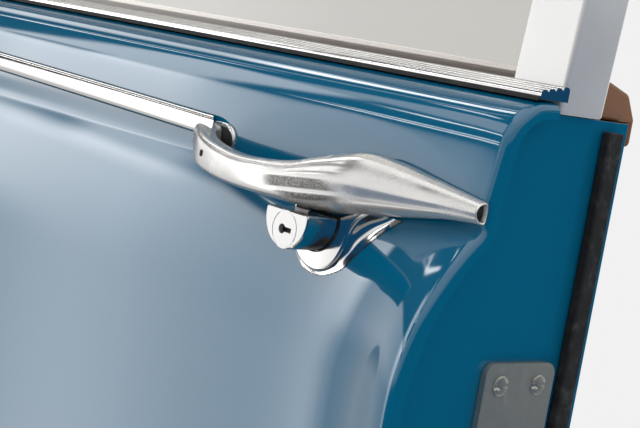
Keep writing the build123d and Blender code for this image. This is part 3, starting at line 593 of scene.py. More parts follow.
def skin_section(x):
    """Points (y, z) of the pressing at x, from the sill's lip to well below the hip's crest."""
    depth = hip_depth(x)
    height = HIP_HEIGHT + depth / 4
    bend = 2 * math.atan(depth / height)
    radius = height / math.sin(bend)
    crest = np.array(SHELF_START) - (depth, height)
    middle = crest + (radius * (1 - math.cos(bend / 2)), radius * math.sin(bend / 2))
    counts = SHARE_OF_SAMPLES
    drop = np.linspace(0, CREST_DROP, counts[6])
    inward = (BOTTOM_Y - crest[0]) * (drop / (crest[1] - LOWEST)) ** 2
    line = smooth(np.concatenate([
        np.linspace(SILL_LIP, SILL_TURN, counts[0], endpoint=False),
        arc(SILL_TURN, SHOULDER_MIDDLE, SHOULDER_END, counts[1] + 1)[:-1],
        np.linspace(SHOULDER_END, FACET_END, counts[2], endpoint=False),
        np.linspace(FACET_END, FLANK_END, counts[3], endpoint=False),
        np.linspace(FLANK_END, SHELF_START, counts[4], endpoint=False),
        arc(SHELF_START, middle, crest, counts[5] + 1)[:-1],
        np.stack([crest[0] + inward, crest[1] - drop], 1),
    ]), PRESS_SOFTNESS)
    line[0] = SILL_LIP
    return line, crest


def skin_depth(x, z):
    """Y of the skin's surface at a point near or below the strip."""
    line, _ = skin_section(x)
    order = np.argsort(line[:, 1])
    return float(np.interp(z, line[order, 1], line[order, 0]) + plan(x) + scoop(x, z))


def on_skin(outline, stand=0.0):
    """An outline of x and z pairs laid on the skin, or standing off it."""
    return at_depth(outline, np.array([skin_depth(x, z) for x, z in outline]) - stand)


print("section has", sum(SHARE_OF_SAMPLES), "samples")

# %% [markdown]
# The grid's columns stand close together where the skin turns in at the shut lines, and far apart between.
# Each column's foot follows the door's rounded lower corners. Near the outline the surface rolls inward,
# first very slightly over a finger's width and then tightly, and a hem folds back behind it.

# %% Outer skin: the pressing
EDGE_R = 4.0
SOFT_EDGE = 17.0
SOFT_DROP = 0.42
REAR_CORNER = 62.0
FRONT_CORNER = 45.0
HEM_T = 2.4
HEM_W = 9.0
LOWER_ROWS = 56
FINE_ROWS = 130         # rows that keep every sample of the section; below them every third is enough


def edge_roll(distance):
    """How far the surface has rolled inward at a distance from the outline."""
    tight = np.clip(EDGE_R - distance, 0, EDGE_R)
    soft = np.clip(1 - distance / SOFT_EDGE, 0, 1)
    return EDGE_R - np.sqrt(EDGE_R**2 - tight**2) + SOFT_DROP * soft**2.4


def skin_columns():
    """X of the grid's columns, close together near both shut lines and behind the handle."""
    roll = EDGE_R * (1 - np.cos(np.linspace(0, math.pi / 2, 12)))
    rear = REAR - np.concatenate([roll, np.arange(EDGE_R + 0.8, 22.0, 0.9)])
    middle = np.concatenate([np.arange(REAR - 23.5, -110.0, -1.8), np.arange(-112.0, -260.0, -3.5)])
    far = np.arange(-266.0, FRONT + 24.0, -11.0)
    front = FRONT + np.concatenate([np.arange(22.0, EDGE_R, -1.8), roll[::-1]])
    return np.concatenate([rear, middle, far, front])


def corner_rise(x, corner, edge):
    """How much higher the outline is than the lowest line, near a rounded corner."""
    inward = corner - min(abs(x - edge), corner)
    return corner - math.sqrt(max(corner**2 - inward**2, 0.0))


def outline_distance(x, z):
    """Distance from the door's outline, rounded corners included."""
    nearest = np.minimum(np.minimum(REAR - x, x - FRONT), z - LOWEST)
    for corner, edge in ((REAR_CORNER, REAR), (FRONT_CORNER, FRONT)):
        across = np.maximum(corner - abs(x - edge), 0.0)
        below = np.maximum(LOWEST + corner - z, 0.0)
        in_corner = (across > 0) & (below > 0)
        nearest = np.where(in_corner, corner - np.hypot(across, below), nearest)
    return np.maximum(nearest, 0.0)


def skin_grid():
    """Points of the pressing's outer face, and its outward normals, as columns of rows."""
    share = 1 - (1 - np.linspace(0, 1, LOWER_ROWS + 1)[1:]) ** 2.2
    columns, normals = [], []
    for x in skin_columns():
        upper, crest = skin_section(x)
        upper = upper[np.r_[0:FINE_ROWS, FINE_ROWS:len(upper):3]]
        foot = LOWEST + corner_rise(x, REAR_CORNER, REAR) + corner_rise(x, FRONT_CORNER, FRONT)
        z = upper[-1, 1] + (foot - upper[-1, 1]) * share
        y = crest[0] + (BOTTOM_Y - crest[0]) * ((crest[1] - z) / (crest[1] - LOWEST)) ** 2
        line = np.concatenate([upper, np.stack([y, z], 1)])
        slope = np.gradient(line, axis=0)
        slope /= np.linalg.norm(slope, axis=1)[:, None]
        normal = np.stack([slope[:, 1], -slope[:, 0]], 1)
        rolled = line - normal * edge_roll(outline_distance(x, line[:, 1]))[:, None]
        y = rolled[:, 0] + plan(x) + scoop(x, line[:, 1])
        columns.append(np.column_stack([np.full(len(line), x), y, rolled[:, 1]]))
        normals.append(normal)
    return np.array(columns), np.array(normals)


def hem_back(turned):
    """The hem's inner edge: each point goes towards the door's middle, or to the centre of its corner."""
    x, z = turned[:, 0], turned[:, 2]
    middle_x = (FRONT + REAR) / 2
    corner = np.where(x > middle_x, REAR_CORNER, FRONT_CORNER)
    centre_x = np.where(x > middle_x, REAR - corner, FRONT + corner)
    inward = np.sign(middle_x - x)
    to_x = np.where(np.sign(centre_x - x) == inward, centre_x - x, 0.0)
    to_z = np.maximum(LOWEST + corner - z, 0.0)
    size = np.maximum(np.hypot(to_x, to_z), 1e-6)
    low_edge = z < LOWEST + REAR_CORNER
    step_x = np.where(low_edge, to_x / size, inward)
    step_z = np.where(low_edge, to_z / size, 0.0)
    return turned + HEM_W * np.column_stack([step_x, np.zeros(len(x)), step_z])


def outer_skin():
    grid, normals = skin_grid()
    columns, rows = grid.shape[:2]
    border = [(0, r) for r in range(rows - 1)] + [(c, rows - 1) for c in range(columns)]
    border += [(columns - 1, r) for r in range(rows - 2, -1, -1)]
    turned = np.array([grid[c, r] - HEM_T * np.array([0, *normals[c, r]]) for c, r in border])
    points = np.concatenate([grid.reshape(-1, 3), turned, hem_back(turned)])
    faces = grid_faces(columns, rows)
    edge = [c * rows + r for c, r in border]
    start, count = columns * rows, len(border)
    for k in range(count - 1):
        faces.append((edge[k], edge[k + 1], start + k + 1, start + k))
        faces.append((start + k, start + k + 1, start + count + k + 1, start + count + k))
    make_piece("skin_pressing", place(points), faces, BODY_PAINT, ["outer_skin"], sharp=60)


outer_skin()

# %% [markdown]
# The pull handle is one die casting: a bow that leaves room for the fingers and a long tail that swells and
# then tapers back along the side strip's line. A casting like this is easiest as sections along a bent
# middle line. The table gives a few sections, and a smooth curve through each column fills in the
# rest. The tail's end is a thin wall round a hollow, and a black disc set deep in it is painted shade.

# %% Handle: sections along the middle line
# x, y, z of the middle line; turn towards the skin in degrees; half height up and down; depth outward and
# inward; fullness of the section, 1 for an oval and less for a flat band; depth of the bevel along its top
HANDLE_SECTIONS = [
    (2.0, -8.0, -1.0, 0, 4.3, 4.2, 4.8, 1.5, 1.0, 0.05),
    (-12.0, -9.0, -1.0, 0, 6.6, 5.3, 7.0, 2.0, 1.0, 0.09),
    (-28.0, -10.0, -1.3, 0, 9.4, 7.6, 9.6, 3.0, 1.0, 0.13),
    (-44.0, -11.5, -1.4, 0, 11.9, 10.2, 12.3, 4.0, 1.0, 0.16),
    (-58.0, -13.5, -1.8, 0, 13.3, 12.2, 14.2, 5.5, 1.0, 0.14),
    (-76.0, -17.5, -4.2, 0, 11.4, 11.8, 13.2, 7.5, 0.90, 0.0),
    (-92.0, -22.0, -6.6, 0, 8.5, 9.3, 10.4, 6.2, 0.82, 0.0),
    (-110.0, -24.8, -7.8, 0, 7.2, 7.9, 7.8, 5.0, 0.70, 0.0),
    (-130.0, -24.5, -8.2, 4, 6.8, 7.2, 6.2, 4.4, 0.60, 0.0),
    (-148.0, -22.5, -7.0, 14, 7.2, 7.0, 5.4, 4.2, 0.54, 0.0),
    (-162.0, -18.6, -5.0, 34, 7.4, 7.0, 5.2, 4.6, 0.52, 0.0),
    (-171.0, -12.8, -2.4, 58, 7.2, 7.0, 6.4, 6.0, 0.55, 0.0),
    (-175.0, -8.5, -0.2, 78, 7.0, 6.8, 10.0, 11.0, 0.62, 0.0),
    (-175.5, -5.0, 0.8, 88, 6.6, 6.6, 13.5, 15.0, 0.70, 0.0),
]
HANDLE_RINGS = 420
HANDLE_SIDES = 96
TAIL_WALL = 0.8
TAIL_HOLLOW = 9.0
BEVEL_TILT = math.radians(66.0)


def handle_ring(row, shrink=0.0):
    """One section of the handle as points, made smaller all round by shrink."""
    x, y, z, turned, up, down, outward, inward, fullness, bevel = row
    heading = math.radians(turned)
    out_axis = np.array([-math.sin(heading), -math.cos(heading), 0])
    angle = full_turn(HANDLE_SIDES)
    rise, reach = np.sin(angle), np.cos(angle)
    vertical = np.where(rise >= 0, up - shrink, down - shrink) * squarer(rise, fullness)
    sideways = np.where(reach >= 0, outward - shrink, inward - shrink * 0.5)
    sideways = sideways * squarer(reach, np.where(reach >= 0, fullness, 0.7 * fullness))
    across, along = math.cos(BEVEL_TILT), math.sin(BEVEL_TILT)
    limit = math.hypot(outward * across, up * along) - bevel - shrink
    over = np.maximum(sideways * across + vertical * along - limit, 0.0) * (bevel > 0.02)
    sideways = sideways - over * across
    vertical = vertical - over * along
    return np.array([x, y, z]) + np.outer(sideways, out_axis) + np.outer(vertical, (0, 0, 1.0))


def pull_handle():
    table = np.array(HANDLE_SECTIONS, float)
    knots = lengths(table[:, :2])
    rows = through(knots, table, np.linspace(0, knots[-1], HANDLE_RINGS))
    wall = handle_ring(rows[0], TAIL_WALL)
    lip = handle_ring(rows[0], TAIL_WALL * 0.35) + (0.3, 0, 0)
    deep = handle_ring(rows[0], TAIL_WALL + 0.4) - (TAIL_HOLLOW, -0.6, 0)
    filled = handle_ring(rows[0], TAIL_WALL * 2.2) - (1.5, 0, 0)
    # a near-black disc deep in the tail's hollow, painted shade for the hollow
    shade_disc = [wall - (3.4, 0, 0), wall - (2.0, 0, 0), filled]
    stacked("tail_hollow_shade", [shade_disc], BLACK_RUBBER, caps=(-1,))
    rings = [deep, wall, lip] + [handle_ring(row) for row in rows]
    stacked("pull_handle", [rings], HANDLE_CHROME, ["handle_grip"], ENDS)


pull_handle()

# %% [markdown]
# The bow's front end stands on a low plated foot with rubber in its middle, and one slotted screw holds it.
# The same screw head comes again on the door's shut face, so it is a function of its place and its facing.

# %% Handle: screw and foot
# shares of the head's radius and height
SCREW_PROFILE = [(1.0, -0.6), (1.0, 0.35), (0.86, 0.8), (0.6, 0.95), (0.3, 1.0)]
SLOT_WIDTH = 0.34
SLOT_DEPTH = 0.7
FOOT_CENTRE = (-167.2, -2.4)
FOOT_HALF = (11.6, 9.8)
FOOT_FULLNESS = 0.72
# share of the outline's size, and height above the skin
FOOT_RIM = [(1.04, -0.4), (1.03, 0.7), (1.0, 1.35), (0.95, 1.5), (0.90, 1.3), (0.87, 0.7)]
FOOT_PAD = [(0.89, 0.5), (0.80, 0.75), (0.60, 0.8), (0.20, 0.8)]


def slotted_screw(name, centre, facing, radius, height, material):
    """Screw head with a slot, its face towards facing, as one small dished disc."""
    facing = np.array(facing, float) / np.linalg.norm(facing)
    side = np.cross(facing, (0, 0, 1.0))
    side /= np.linalg.norm(side)
    up = np.cross(side, facing)
    rings = []
    for share, rise in SCREW_PROFILE:
        across = np.cos(full_turn(32)) * radius * share
        along = np.sin(full_turn(32)) * radius * share
        in_slot = (abs(along) < radius * SLOT_WIDTH / 2) & (rise > 0)
        lift = height * (rise - SLOT_DEPTH * in_slot)
        rings.append(centre + np.outer(across, side) + np.outer(along, up) + np.outer(lift, facing))
    stacked(name, [rings], material, caps=(-1,), sharp=30)


def foot_plate(name, table, material):
    """Part of the low foot, a rounded oblong on the skin, where the bow's front end stands."""
    turn = full_turn(72)
    outline = FOOT_HALF * squarer(np.stack([np.cos(turn), np.sin(turn)], 1), FOOT_FULLNESS)
    rings = [on_skin(outline * share + FOOT_CENTRE, stand) for share, stand in table]
    stacked(name, [rings], material, caps=(-1,))


# its head is near-black steel, painted shade for the hollow it sits in
slotted_screw("grip_screw", (-154.7, -26.62, -6.0), (-0.31, -0.95, 0), 1.5, 0.3, LOCK_WORKS)
foot_plate("bow_foot_rim", FOOT_RIM, BUTTON_CHROME)
foot_plate("bow_foot_pad", FOOT_PAD, BLACK_RUBBER)

# %% [markdown]
# Below the handle's swelling stands a plated pedestal with a thin rubber pad under it. Its face is round
# below, its rim is a narrow bright step, and its rear flank sweeps out and back to vanish under the tail.
# Pedestal and pad both follow the skin, so their feet are drawn on the skin's own surface.

# %% Handle: pedestal and pad
PEDESTAL_FACE_Y = -16.0
PEDESTAL_RIM = 1.6
PEDESTAL_RIM_Y = PEDESTAL_FACE_Y + 0.9
PEDESTAL_BEVEL = (90.0, 68.0, 45.0, 22.0)       # degrees round the rim, from the face outward
PEDESTAL_MIDDLE = np.array([-79.5, 0.0, -22.0])
PEDESTAL_SAMPLES = 120
FLANK_SINK = 0.2                                # the flank's foot ends this far off the skin, in the pad
FLANK_HOLLOW_X = -78.0                          # where the flank starts to turn hollow, and over what length
FLANK_HOLLOW_REACH = 12.0
# Rim of the face and line of the foot, as x and z pairs, from the front round the bottom to the tail
PEDESTAL_RIM_LINE = [
    (-97.0, -10.0), (-97.0, -24.0), (-93.0, -34.5), (-86.0, -40.0), (-79.0, -41.3),
    (-72.0, -39.6), (-66.0, -35.0), (-62.6, -29.0), (-60.4, -22.0), (-56.0, -16.0), (-50.0, -12.0),
]
PEDESTAL_FOOT_LINE = [
    (-99.0, -10.0), (-99.0, -24.0), (-94.6, -35.6), (-86.8, -41.6), (-79.0, -43.0),
    (-70.5, -41.4), (-62.0, -36.8), (-57.2, -30.6), (-52.0, -24.4), (-46.0, -18.2), (-39.0, -12.5),
]
PAD_SECTION = ((0.4, 0.25), (0.05, 0.22), (-0.07, 0.05), (-0.07, -0.6))     # inset, and height above the skin


def even_curve(points):
    """Points evenly spaced on the smooth curve through a few."""
    table = np.array(points, float)
    knots = lengths(table)
    return evenly(through(knots, table, np.linspace(0, knots[-1], 400)), PEDESTAL_SAMPLES)


def inner_line(points, inset):
    """A curve moved to its inner side by a distance."""
    slope = np.gradient(points, axis=0)
    slope /= np.linalg.norm(slope, axis=1)[:, None]
    return points + inset * np.stack([-slope[:, 1], slope[:, 0]], 1)


def pedestal_flank(rim, foot):
    """Rows of points from the face's rim down the flank to the foot on the skin."""
    stand = np.maximum(on_skin(rim)[:, 1] - PEDESTAL_RIM_Y, FLANK_SINK)
    foot_y = on_skin(foot, FLANK_SINK)[:, 1]
    rearward = np.clip((rim[:, 0] - FLANK_HOLLOW_X) / FLANK_HOLLOW_REACH, 0, 1)
    rows = []
    for share in np.linspace(0, 1, 16):
        line = rim + (foot - rim) * share**1.2
        hollow = on_skin(line, FLANK_SINK)[:, 1] - (stand - FLANK_SINK) * (1 - share) ** 2.6
        plain = PEDESTAL_RIM_Y + (foot_y - PEDESTAL_RIM_Y) * share
        rows.append(at_depth(line, plain + (hollow - plain) * rearward * min(share * 8, 1.0)))
    return rows


def pedestal():
    rim, foot = even_curve(PEDESTAL_RIM_LINE), even_curve(PEDESTAL_FOOT_LINE)
    bevel = []
    for turn in np.radians(PEDESTAL_BEVEL):
        line = inner_line(rim, PEDESTAL_RIM * (1 - math.cos(turn)))
        bevel.append(at_depth(line, PEDESTAL_RIM_Y - PEDESTAL_RIM * 1.1 * math.sin(turn)))
    heart = PEDESTAL_MIDDLE + (bevel[0] - PEDESTAL_MIDDLE) * (0.25, 1, 0.25)
    stacked(
        "handle_pedestal_plate", [[heart, *bevel, *pedestal_flank(rim, foot)]], BUTTON_CHROME,
        ["handle_pedestal"], closed=False, sharp=26,
    )
    pad = [on_skin(inner_line(foot, inset), stand) for inset, stand in PAD_SECTION]
    stacked("pedestal_pad", [pad], BLACK_RUBBER, ["handle_gasket"], closed=False, sharp=35)


pedestal()

# %% [markdown]
# The push button is a short barrel with a flat top and a round bottom, and the lock sits in its middle.
# Its end is a satin face with a fine bright edge. The keyway is a real recess: a slot with a round end.

# %% Push button, its seal and the lock
PLUG = (-81.0, -25.3)
PLUG_R = 7.5
BUTTON_R = 13.6
BUTTON_TOP = 8.0
BUTTON_FACE_Y = -33.0
BUTTON_EDGE = 0.45
KEYWAY_R = 2.0
KEYWAY_SLOT = 1.0           # half its height
KEYWAY_REACH = 4.3
BUTTON_SAMPLES = 400        # fine samples of the outline, and the softness of its corners in samples
BUTTON_SOFTNESS = 3.0
# distance outside the button, and depth behind the pedestal's face
GASKET_SECTION = ((0.08, 1.5), (0.1, -1.3), (0.35, -1.5), (0.6, -1.3), (0.65, 1.5))


def circle(radius, count, centre=PLUG):
    angle = np.linspace(math.pi, 3 * math.pi, count, endpoint=False)
    return np.stack([centre[0] + radius * np.cos(angle), centre[1] + radius * np.sin(angle)], 1)


def button_line(grow, count=100):
    """Outline of the button, flat above and round below, its corners eased."""
    radius = BUTTON_R + grow
    centre_z = PLUG[1] + BUTTON_R - PLUG_R - 0.4
    top = PLUG[1] + BUTTON_TOP + grow
    start = math.asin((top - centre_z) / radius)
    angle = np.linspace(math.pi - start, 2 * math.pi + start, 300)
    bow = np.stack([PLUG[0] + radius * np.cos(angle), centre_z + radius * np.sin(angle)], 1)
    flat = np.linspace(bow[-1], bow[0], 90)[1:-1]
    fine = evenly(np.concatenate([bow, flat]), BUTTON_SAMPLES, closed=True)
    weights = bell(12, BUTTON_SOFTNESS)
    soft = sum(weight * np.roll(fine, k - 12, axis=0) for k, weight in enumerate(weights))
    return soft[:: BUTTON_SAMPLES // count]


def cut_plate(outlines, face_y, thickness, bevel):
    """Points and faces of a flat plate that looks outward, its inner outlines cut through it."""
    curve = bpy.data.curves.new("plate_outline", "CURVE")
    curve.dimensions = "2D"
    curve.fill_mode = "BOTH"
    curve.extrude = thickness / 2 - bevel
    curve.bevel_depth = bevel
    curve.offset = -bevel
    for outline in outlines:
        line = curve.splines.new("POLY")
        line.points.add(len(outline) - 1)
        for point, (x, z) in zip(line.points, outline):
            point.co = (x, z, 0, 1)
        line.use_cyclic_u = True
    drawn = bpy.data.objects.new("plate_outline", curve)
    mesh = bpy.data.meshes.new_from_object(drawn)
    points = np.array([(v.co.x, face_y + thickness / 2 - v.co.z, v.co.y) for v in mesh.vertices])
    faces = [tuple(p.vertices) for p in mesh.polygons]
    bpy.data.objects.remove(drawn)
    return place(points), faces


def push_button():
    """Plated barrel, and the satin face let into its end with a round hole for the lock."""
    outer, edge, inner = (button_line(grow) for grow in (0.0, -BUTTON_EDGE, -BUTTON_EDGE - 1.5))
    face = BUTTON_FACE_Y
    loops = [(outer, -6.0), (outer, face + BUTTON_EDGE), (edge, face), (inner, face), (inner, face + 3.0)]
    rings = [at_depth(*loop) for loop in loops]
    stacked("push_button_barrel", [rings], BUTTON_CHROME, ["push_button"], sharp=25)
    outlines = [button_line(-BUTTON_EDGE - 0.08, 200), circle(PLUG_R + 0.26, 96)]
    points, faces = cut_plate(outlines, face - 0.1, 1.6, 0.06)
    make_piece("push_button_face", points, faces, SATIN_FACE, sharp=25)


def keyway_line(count):
    """Outline of the keyway: a narrow slot whose front end is round."""
    open_angle = math.asin(KEYWAY_SLOT / KEYWAY_R)
    bow = np.linspace(open_angle, 2 * math.pi - open_angle, count)
    round_end = np.stack([PLUG[0] - 1.6 + KEYWAY_R * np.cos(bow), PLUG[1] + KEYWAY_R * np.sin(bow)], 1)
    end_x = PLUG[0] + KEYWAY_REACH
    return np.concatenate([round_end, [(end_x, PLUG[1] - KEYWAY_SLOT), (end_x, PLUG[1] + KEYWAY_SLOT)]])


def lock_plug():
    """Round face of the lock with its keyway cut through, and the dark works behind it."""
    points, faces = cut_plate([circle(PLUG_R, 96), keyway_line(40)], BUTTON_FACE_Y - 0.12, 2.4, 0.1)
    make_piece("lock_plug_face", points, faces, SATIN_FACE, ["lock_plug"], sharp=25)
    rings = [at_depth(circle(PLUG_R - 0.2, 48), BUTTON_FACE_Y + back) for back in (2.2, 5.0)]
    stacked("lock_works", [rings], LOCK_WORKS, caps=ENDS, sharp=25)


push_button()
lock_plug()
gasket = [at_depth(button_line(grow), PEDESTAL_FACE_Y + back) for grow, back in GASKET_SECTION]
stacked("button_gasket", [gasket], BLACK_RUBBER, ["button_seal"], sharp=35)

# %% [markdown]
# The side strip is rolled brass, plated, with a half-round face that sits on the flank from the handle
# forwards. The sill finisher is a ribbed plated moulding that caps the skin's lip below the window.
# Both are long sections, so each is drawn once across and then carried along the door's own lines.

# %% Side strip and sill finisher
STRIP_H = 10.5
STRIP_D = 5.4
STRIP_SIDES = 26
STRIP_REAR = -167.5
STRIP_MITRE = 2.2       # how far its rear end slopes forward for each step in towards the skin
STRIP_RISE = 14.5
FINISHER_NEAR = 11.5
FINISHER_FAR = 27.2
FINISHER_BASE = 44.1
FINISHER_H = 6.0
RIBS = 4
RIB_CROWN = 1.1


def side_strip():
    angle = np.linspace(-math.pi / 2, math.pi / 2, STRIP_SIDES)
    flank_lean = (FACET_END[0] - FLANK_END[0]) / (FACET_END[1] - FLANK_END[1])
    lean = math.atan(flank_lean)
    rise = STRIP_H / 2 * squarer(np.sin(angle), 0.9)
    stand = STRIP_D * (0.25 + 0.75 * np.cos(angle) ** 0.85)
    stand[[0, -1]] = 0.0
    rows = []
    for at in np.linspace(STRIP_REAR, FRONT + 1.5, 90):
        x = np.minimum(at, STRIP_REAR - (STRIP_D - stand) * STRIP_MITRE)
        z = STRIP_RISE * (1 - ((x - FRONT) / FRONT) ** 2)
        base_y = FLANK_END[0] + flank_lean * (np.maximum(z, FLANK_END[1]) - FLANK_END[1]) + plan(x) - 0.1
        y = base_y + rise * math.sin(lean) - stand * math.cos(lean)
        rows.append(np.column_stack([x, y, z + rise * math.cos(lean) + stand * math.sin(lean)]))
    stacked("side_strip_moulding", [rows], TRIM_CHROME, ["side_strip"], ENDS, closed=False)


def sill_curve(section, x):
    """A section's (y, z) points carried to x, its near side with the skin and its far side with the frame."""
    share = np.clip((section[:, 0] - FINISHER_NEAR) / (FINISHER_FAR - FINISHER_NEAR), 0, 1)
    frame_plan = 6.5 * x / (FRONT + 42 + 2.3)      # the frame stands a little further in at its front foot
    y = section[:, 0] + plan(x) * (1 - share) + frame_plan * share
    return np.column_stack([np.full(len(section), x), y, section[:, 1]])


def sill_finisher():
    pitch = (FINISHER_FAR - FINISHER_NEAR) / RIBS
    base = FINISHER_BASE
    turn = np.linspace(math.pi, 0, 9)
    section = [(FINISHER_FAR, base), (FINISHER_NEAR, base), (FINISHER_NEAR - 0.2, base + 1.2)]
    for i in range(RIBS):
        lift = base + FINISHER_H * (0.52 + 0.46 * (i + 1) / RIBS) - RIB_CROWN
        across = FINISHER_NEAR + pitch * (i + 0.5 + 0.47 * np.cos(turn))
        section += list(zip(across, lift + RIB_CROWN * np.sin(turn)))
    section.append((FINISHER_FAR, base + FINISHER_H - 1.2))
    rows = [sill_curve(np.array(section), x) for x in np.linspace(REAR - 1.5, FRONT + 2, 60)]
    stacked("sill_moulding", [rows], TRIM_CHROME, ["sill_finisher"], ENDS, sharp=38)


side_strip()
sill_finisher()

# %% [markdown]
# The inside is covered by a board dressed in hide. Its middle is sewn into upright pleats over thin padding,
# and bright beads close the pleats above and below. The board is one grid whose depth is worked out
# from the distance to its edge and from the place between two seams, so every pleat is a real swelling.

# %% Trim panel
TRIM_BACK = 73.4            # from the skin's reference, in millimetres
TRIM_FACE = 75.0
TRIM_INSET = 20.0
TRIM_TOP = 29.0
TRIM_EDGE_R = 3.0
PLEAT_LIFT = 4.1
PLEAT_END = 16.0            # length over which a pleat flattens at its two ends
BEAD_R = 3.2
BEAD_GAP = 5.0              # from the pleats to the bead's middle
TRIM_LEFT, TRIM_RIGHT = FRONT + TRIM_INSET, REAR - TRIM_INSET


def pleat_lift(x, z):
    """How far the padding swells at a point of the board."""
    low_x, high_x = PLEATS_X
    low_z, high_z = PLEATS_Z
    place_in = np.mod((x - low_x) / (high_x - low_x) * PLEAT_COUNT, 1.0)
    swell = (1 - abs(2 * place_in - 1) ** 2.0) ** 0.6
    ends = np.clip(np.minimum(z - low_z, high_z - z) / PLEAT_END, 0, 1) ** 0.5
    inside = (x > low_x) & (x < high_x) & (z > low_z) & (z < high_z)
    return np.where(inside, PLEAT_LIFT * swell * ends, 0.0)


def edge_to_edge(low, stretches, high):
    """Grid lines that crowd at both rolled edges, with stretches as from, to and count between them."""
    ease = TRIM_EDGE_R * (1 - np.cos(np.linspace(0, math.pi / 2, 6)))
    between = [np.linspace(*stretch) for stretch in stretches]
    return np.concatenate([low + ease, *between, (high - ease)[::-1]])


def trim_panel():
    (low_x, high_x), (low_z, high_z), r = PLEATS_X, PLEATS_Z, TRIM_EDGE_R
    across = [
        (TRIM_LEFT + 2 * r, low_x - r, 10), (low_x, high_x, PLEAT_COUNT * 10 + 1),
        (high_x + r, TRIM_RIGHT - 2 * r, 10),
    ]
    rows = []
    for x in edge_to_edge(TRIM_LEFT, across, TRIM_RIGHT):
        foot = LOWEST + TRIM_INSET + corner_rise(x, FRONT_CORNER - TRIM_INSET, TRIM_LEFT)
        foot += corner_rise(x, REAR_CORNER - TRIM_INSET, TRIM_RIGHT)
        z = edge_to_edge(foot, [
            (foot + 2 * r, low_z - r, 6), (low_z, low_z + PLEAT_END, 7), (low_z + 30, high_z - 30, 20),
            (high_z - PLEAT_END, high_z, 7), (high_z + r, TRIM_TOP - 2 * r, 6),
        ], TRIM_TOP)
        edge = np.minimum(np.minimum(x - TRIM_LEFT, TRIM_RIGHT - x), np.minimum(z - foot, TRIM_TOP - z))
        near = np.clip(r - edge, 0, r)
        sunk = (r - np.sqrt(r**2 - near**2)) * (TRIM_FACE - TRIM_BACK) / r
        rows.append(np.column_stack([np.full(len(z), x), TRIM_FACE - sunk + pleat_lift(x, z), z]))
    stacked("trim_board", [rows], SEWN_HIDE, ["trim_panel"], closed=False)


def trim_beads():
    """Half-round bright beads above and below the pleats, drawn in at their ends."""
    turn = np.linspace(0, math.pi, 11)
    sizes = BEAD_R * np.array([0.55] + [1.0] * 38 + [0.55])
    stacks = []
    for z in (PLEATS_Z[1] + BEAD_GAP, PLEATS_Z[0] - BEAD_GAP):
        rows = []
        for x, size in zip(np.linspace(TRIM_LEFT + 4, TRIM_RIGHT - 4, len(sizes)), sizes):
            y = TRIM_FACE - 0.6 + size * np.sin(turn)
            rows.append(np.column_stack([np.full(len(turn), x), y, z + size * np.cos(turn)]))
        stacks.append(rows)
    stacked("trim_beads", stacks, TRIM_CHROME, caps=ENDS, closed=False)


trim_panel()
trim_beads()

# %% [markdown]
# The armrest is a padded bracket covered in the same hide. Its section is a soft box that crowns on top,
# and its ends are round in plan. A welt, a thin sewn cord, runs round the top and the bottom of its outer
# side, and the hide puckers a little next to it.

# %% Armrest
ARM_LOW, ARM_HIGH = solid_box("armrest")
ARM_H = ARM_HIGH[2] - ARM_LOW[2]
ARM_END_R = 44.0
ARM_SAMPLES = 180
WELT_R = 1.7
WELT_HEIGHTS = (4.0, ARM_H - 5.6)
# inset from the plan's outline, and height above the underside, from below round the side to the crowned top
ARM_SIDE = [(1.4 - 1.4 * math.sin(math.pi * k / 8), 5.4 + (ARM_H - 13.0) * k / 8) for k in range(1, 8)]
ARM_PROFILE = [(26.0, 0.3), (10.0, 0.0), (4.5, 0.6), (1.6, 3.0), (2.6, 4.6)] + ARM_SIDE + [
    (2.8, ARM_H - 6.4), (1.6, ARM_H - 5.0), (4.5, ARM_H - 2.2), (10.0, ARM_H - 0.8), (18.0, ARM_H - 0.1),
]


def arm_outline(inset):
    """Plan of the armrest from one end on the board round to the other."""
    low, high = ARM_LOW[:2] + (inset, 0), ARM_HIGH[:2] - inset
    radius = ARM_END_R - inset
    turn = np.linspace(0, math.pi / 2, 40)
    side, end = radius * np.sin(turn), radius * np.cos(turn)
    first = np.column_stack([low[0] + radius - end, high[1] - radius + side])
    last = np.column_stack([high[0] - radius + side, high[1] - radius + end])
    return evenly(np.concatenate([[low], first, last, [(high[0], low[1])]]), ARM_SAMPLES)


def armrest():
    """Rings of the plan outline, closed above and below by rings drawn in to a quarter of the width."""
    rings = []
    for inset, rise in ARM_PROFILE:
        by_the_welt = 2.4 < inset < 3.0
        pucker = 0.35 * np.sin(np.linspace(0, 46 * math.pi, ARM_SAMPLES)) * by_the_welt
        rings.append(np.column_stack([arm_outline(inset), ARM_LOW[2] + rise + pucker]))
    middle = np.array([0, (ARM_LOW[1] + ARM_HIGH[1]) / 2, 0])
    base, heart = (middle + (ring - middle) * (1, 0.25, 1) for ring in (rings[0], rings[-1] + (0, 0, 0.2)))
    rows = [base] + rings + [heart]
    arm = stacked("armrest_pad", [rows], TRIM_HIDE, ["armrest"], closed=False, sharp=60)


def armrest_welts():
    """Sewn cords round the armrest's two edges."""
    line = arm_outline(2.4)
    way = np.gradient(line, axis=0)
    way /= np.linalg.norm(way, axis=1)[:, None]
    out = np.column_stack([-way[:, 1], way[:, 0]])
    turn = full_turn(10)
    stacks = []
    for rise in WELT_HEIGHTS:
        z = ARM_LOW[2] + rise + WELT_R * np.sin(turn)
        rings = [p + WELT_R * np.outer(np.cos(turn), o) for p, o in zip(line, out)]
        stacks.append([np.column_stack([ring, z]) for ring in rings])
    stacked("armrest_welts", stacks, TRIM_HIDE, sharp=60)


armrest()
armrest_welts()

# %% [markdown]
# The winder and the inside handle are plated castings on round escutcheons. Each arm is a blade that leaves
# its boss, dips a little and thins towards its tip. The winder's knob is turned plastic.

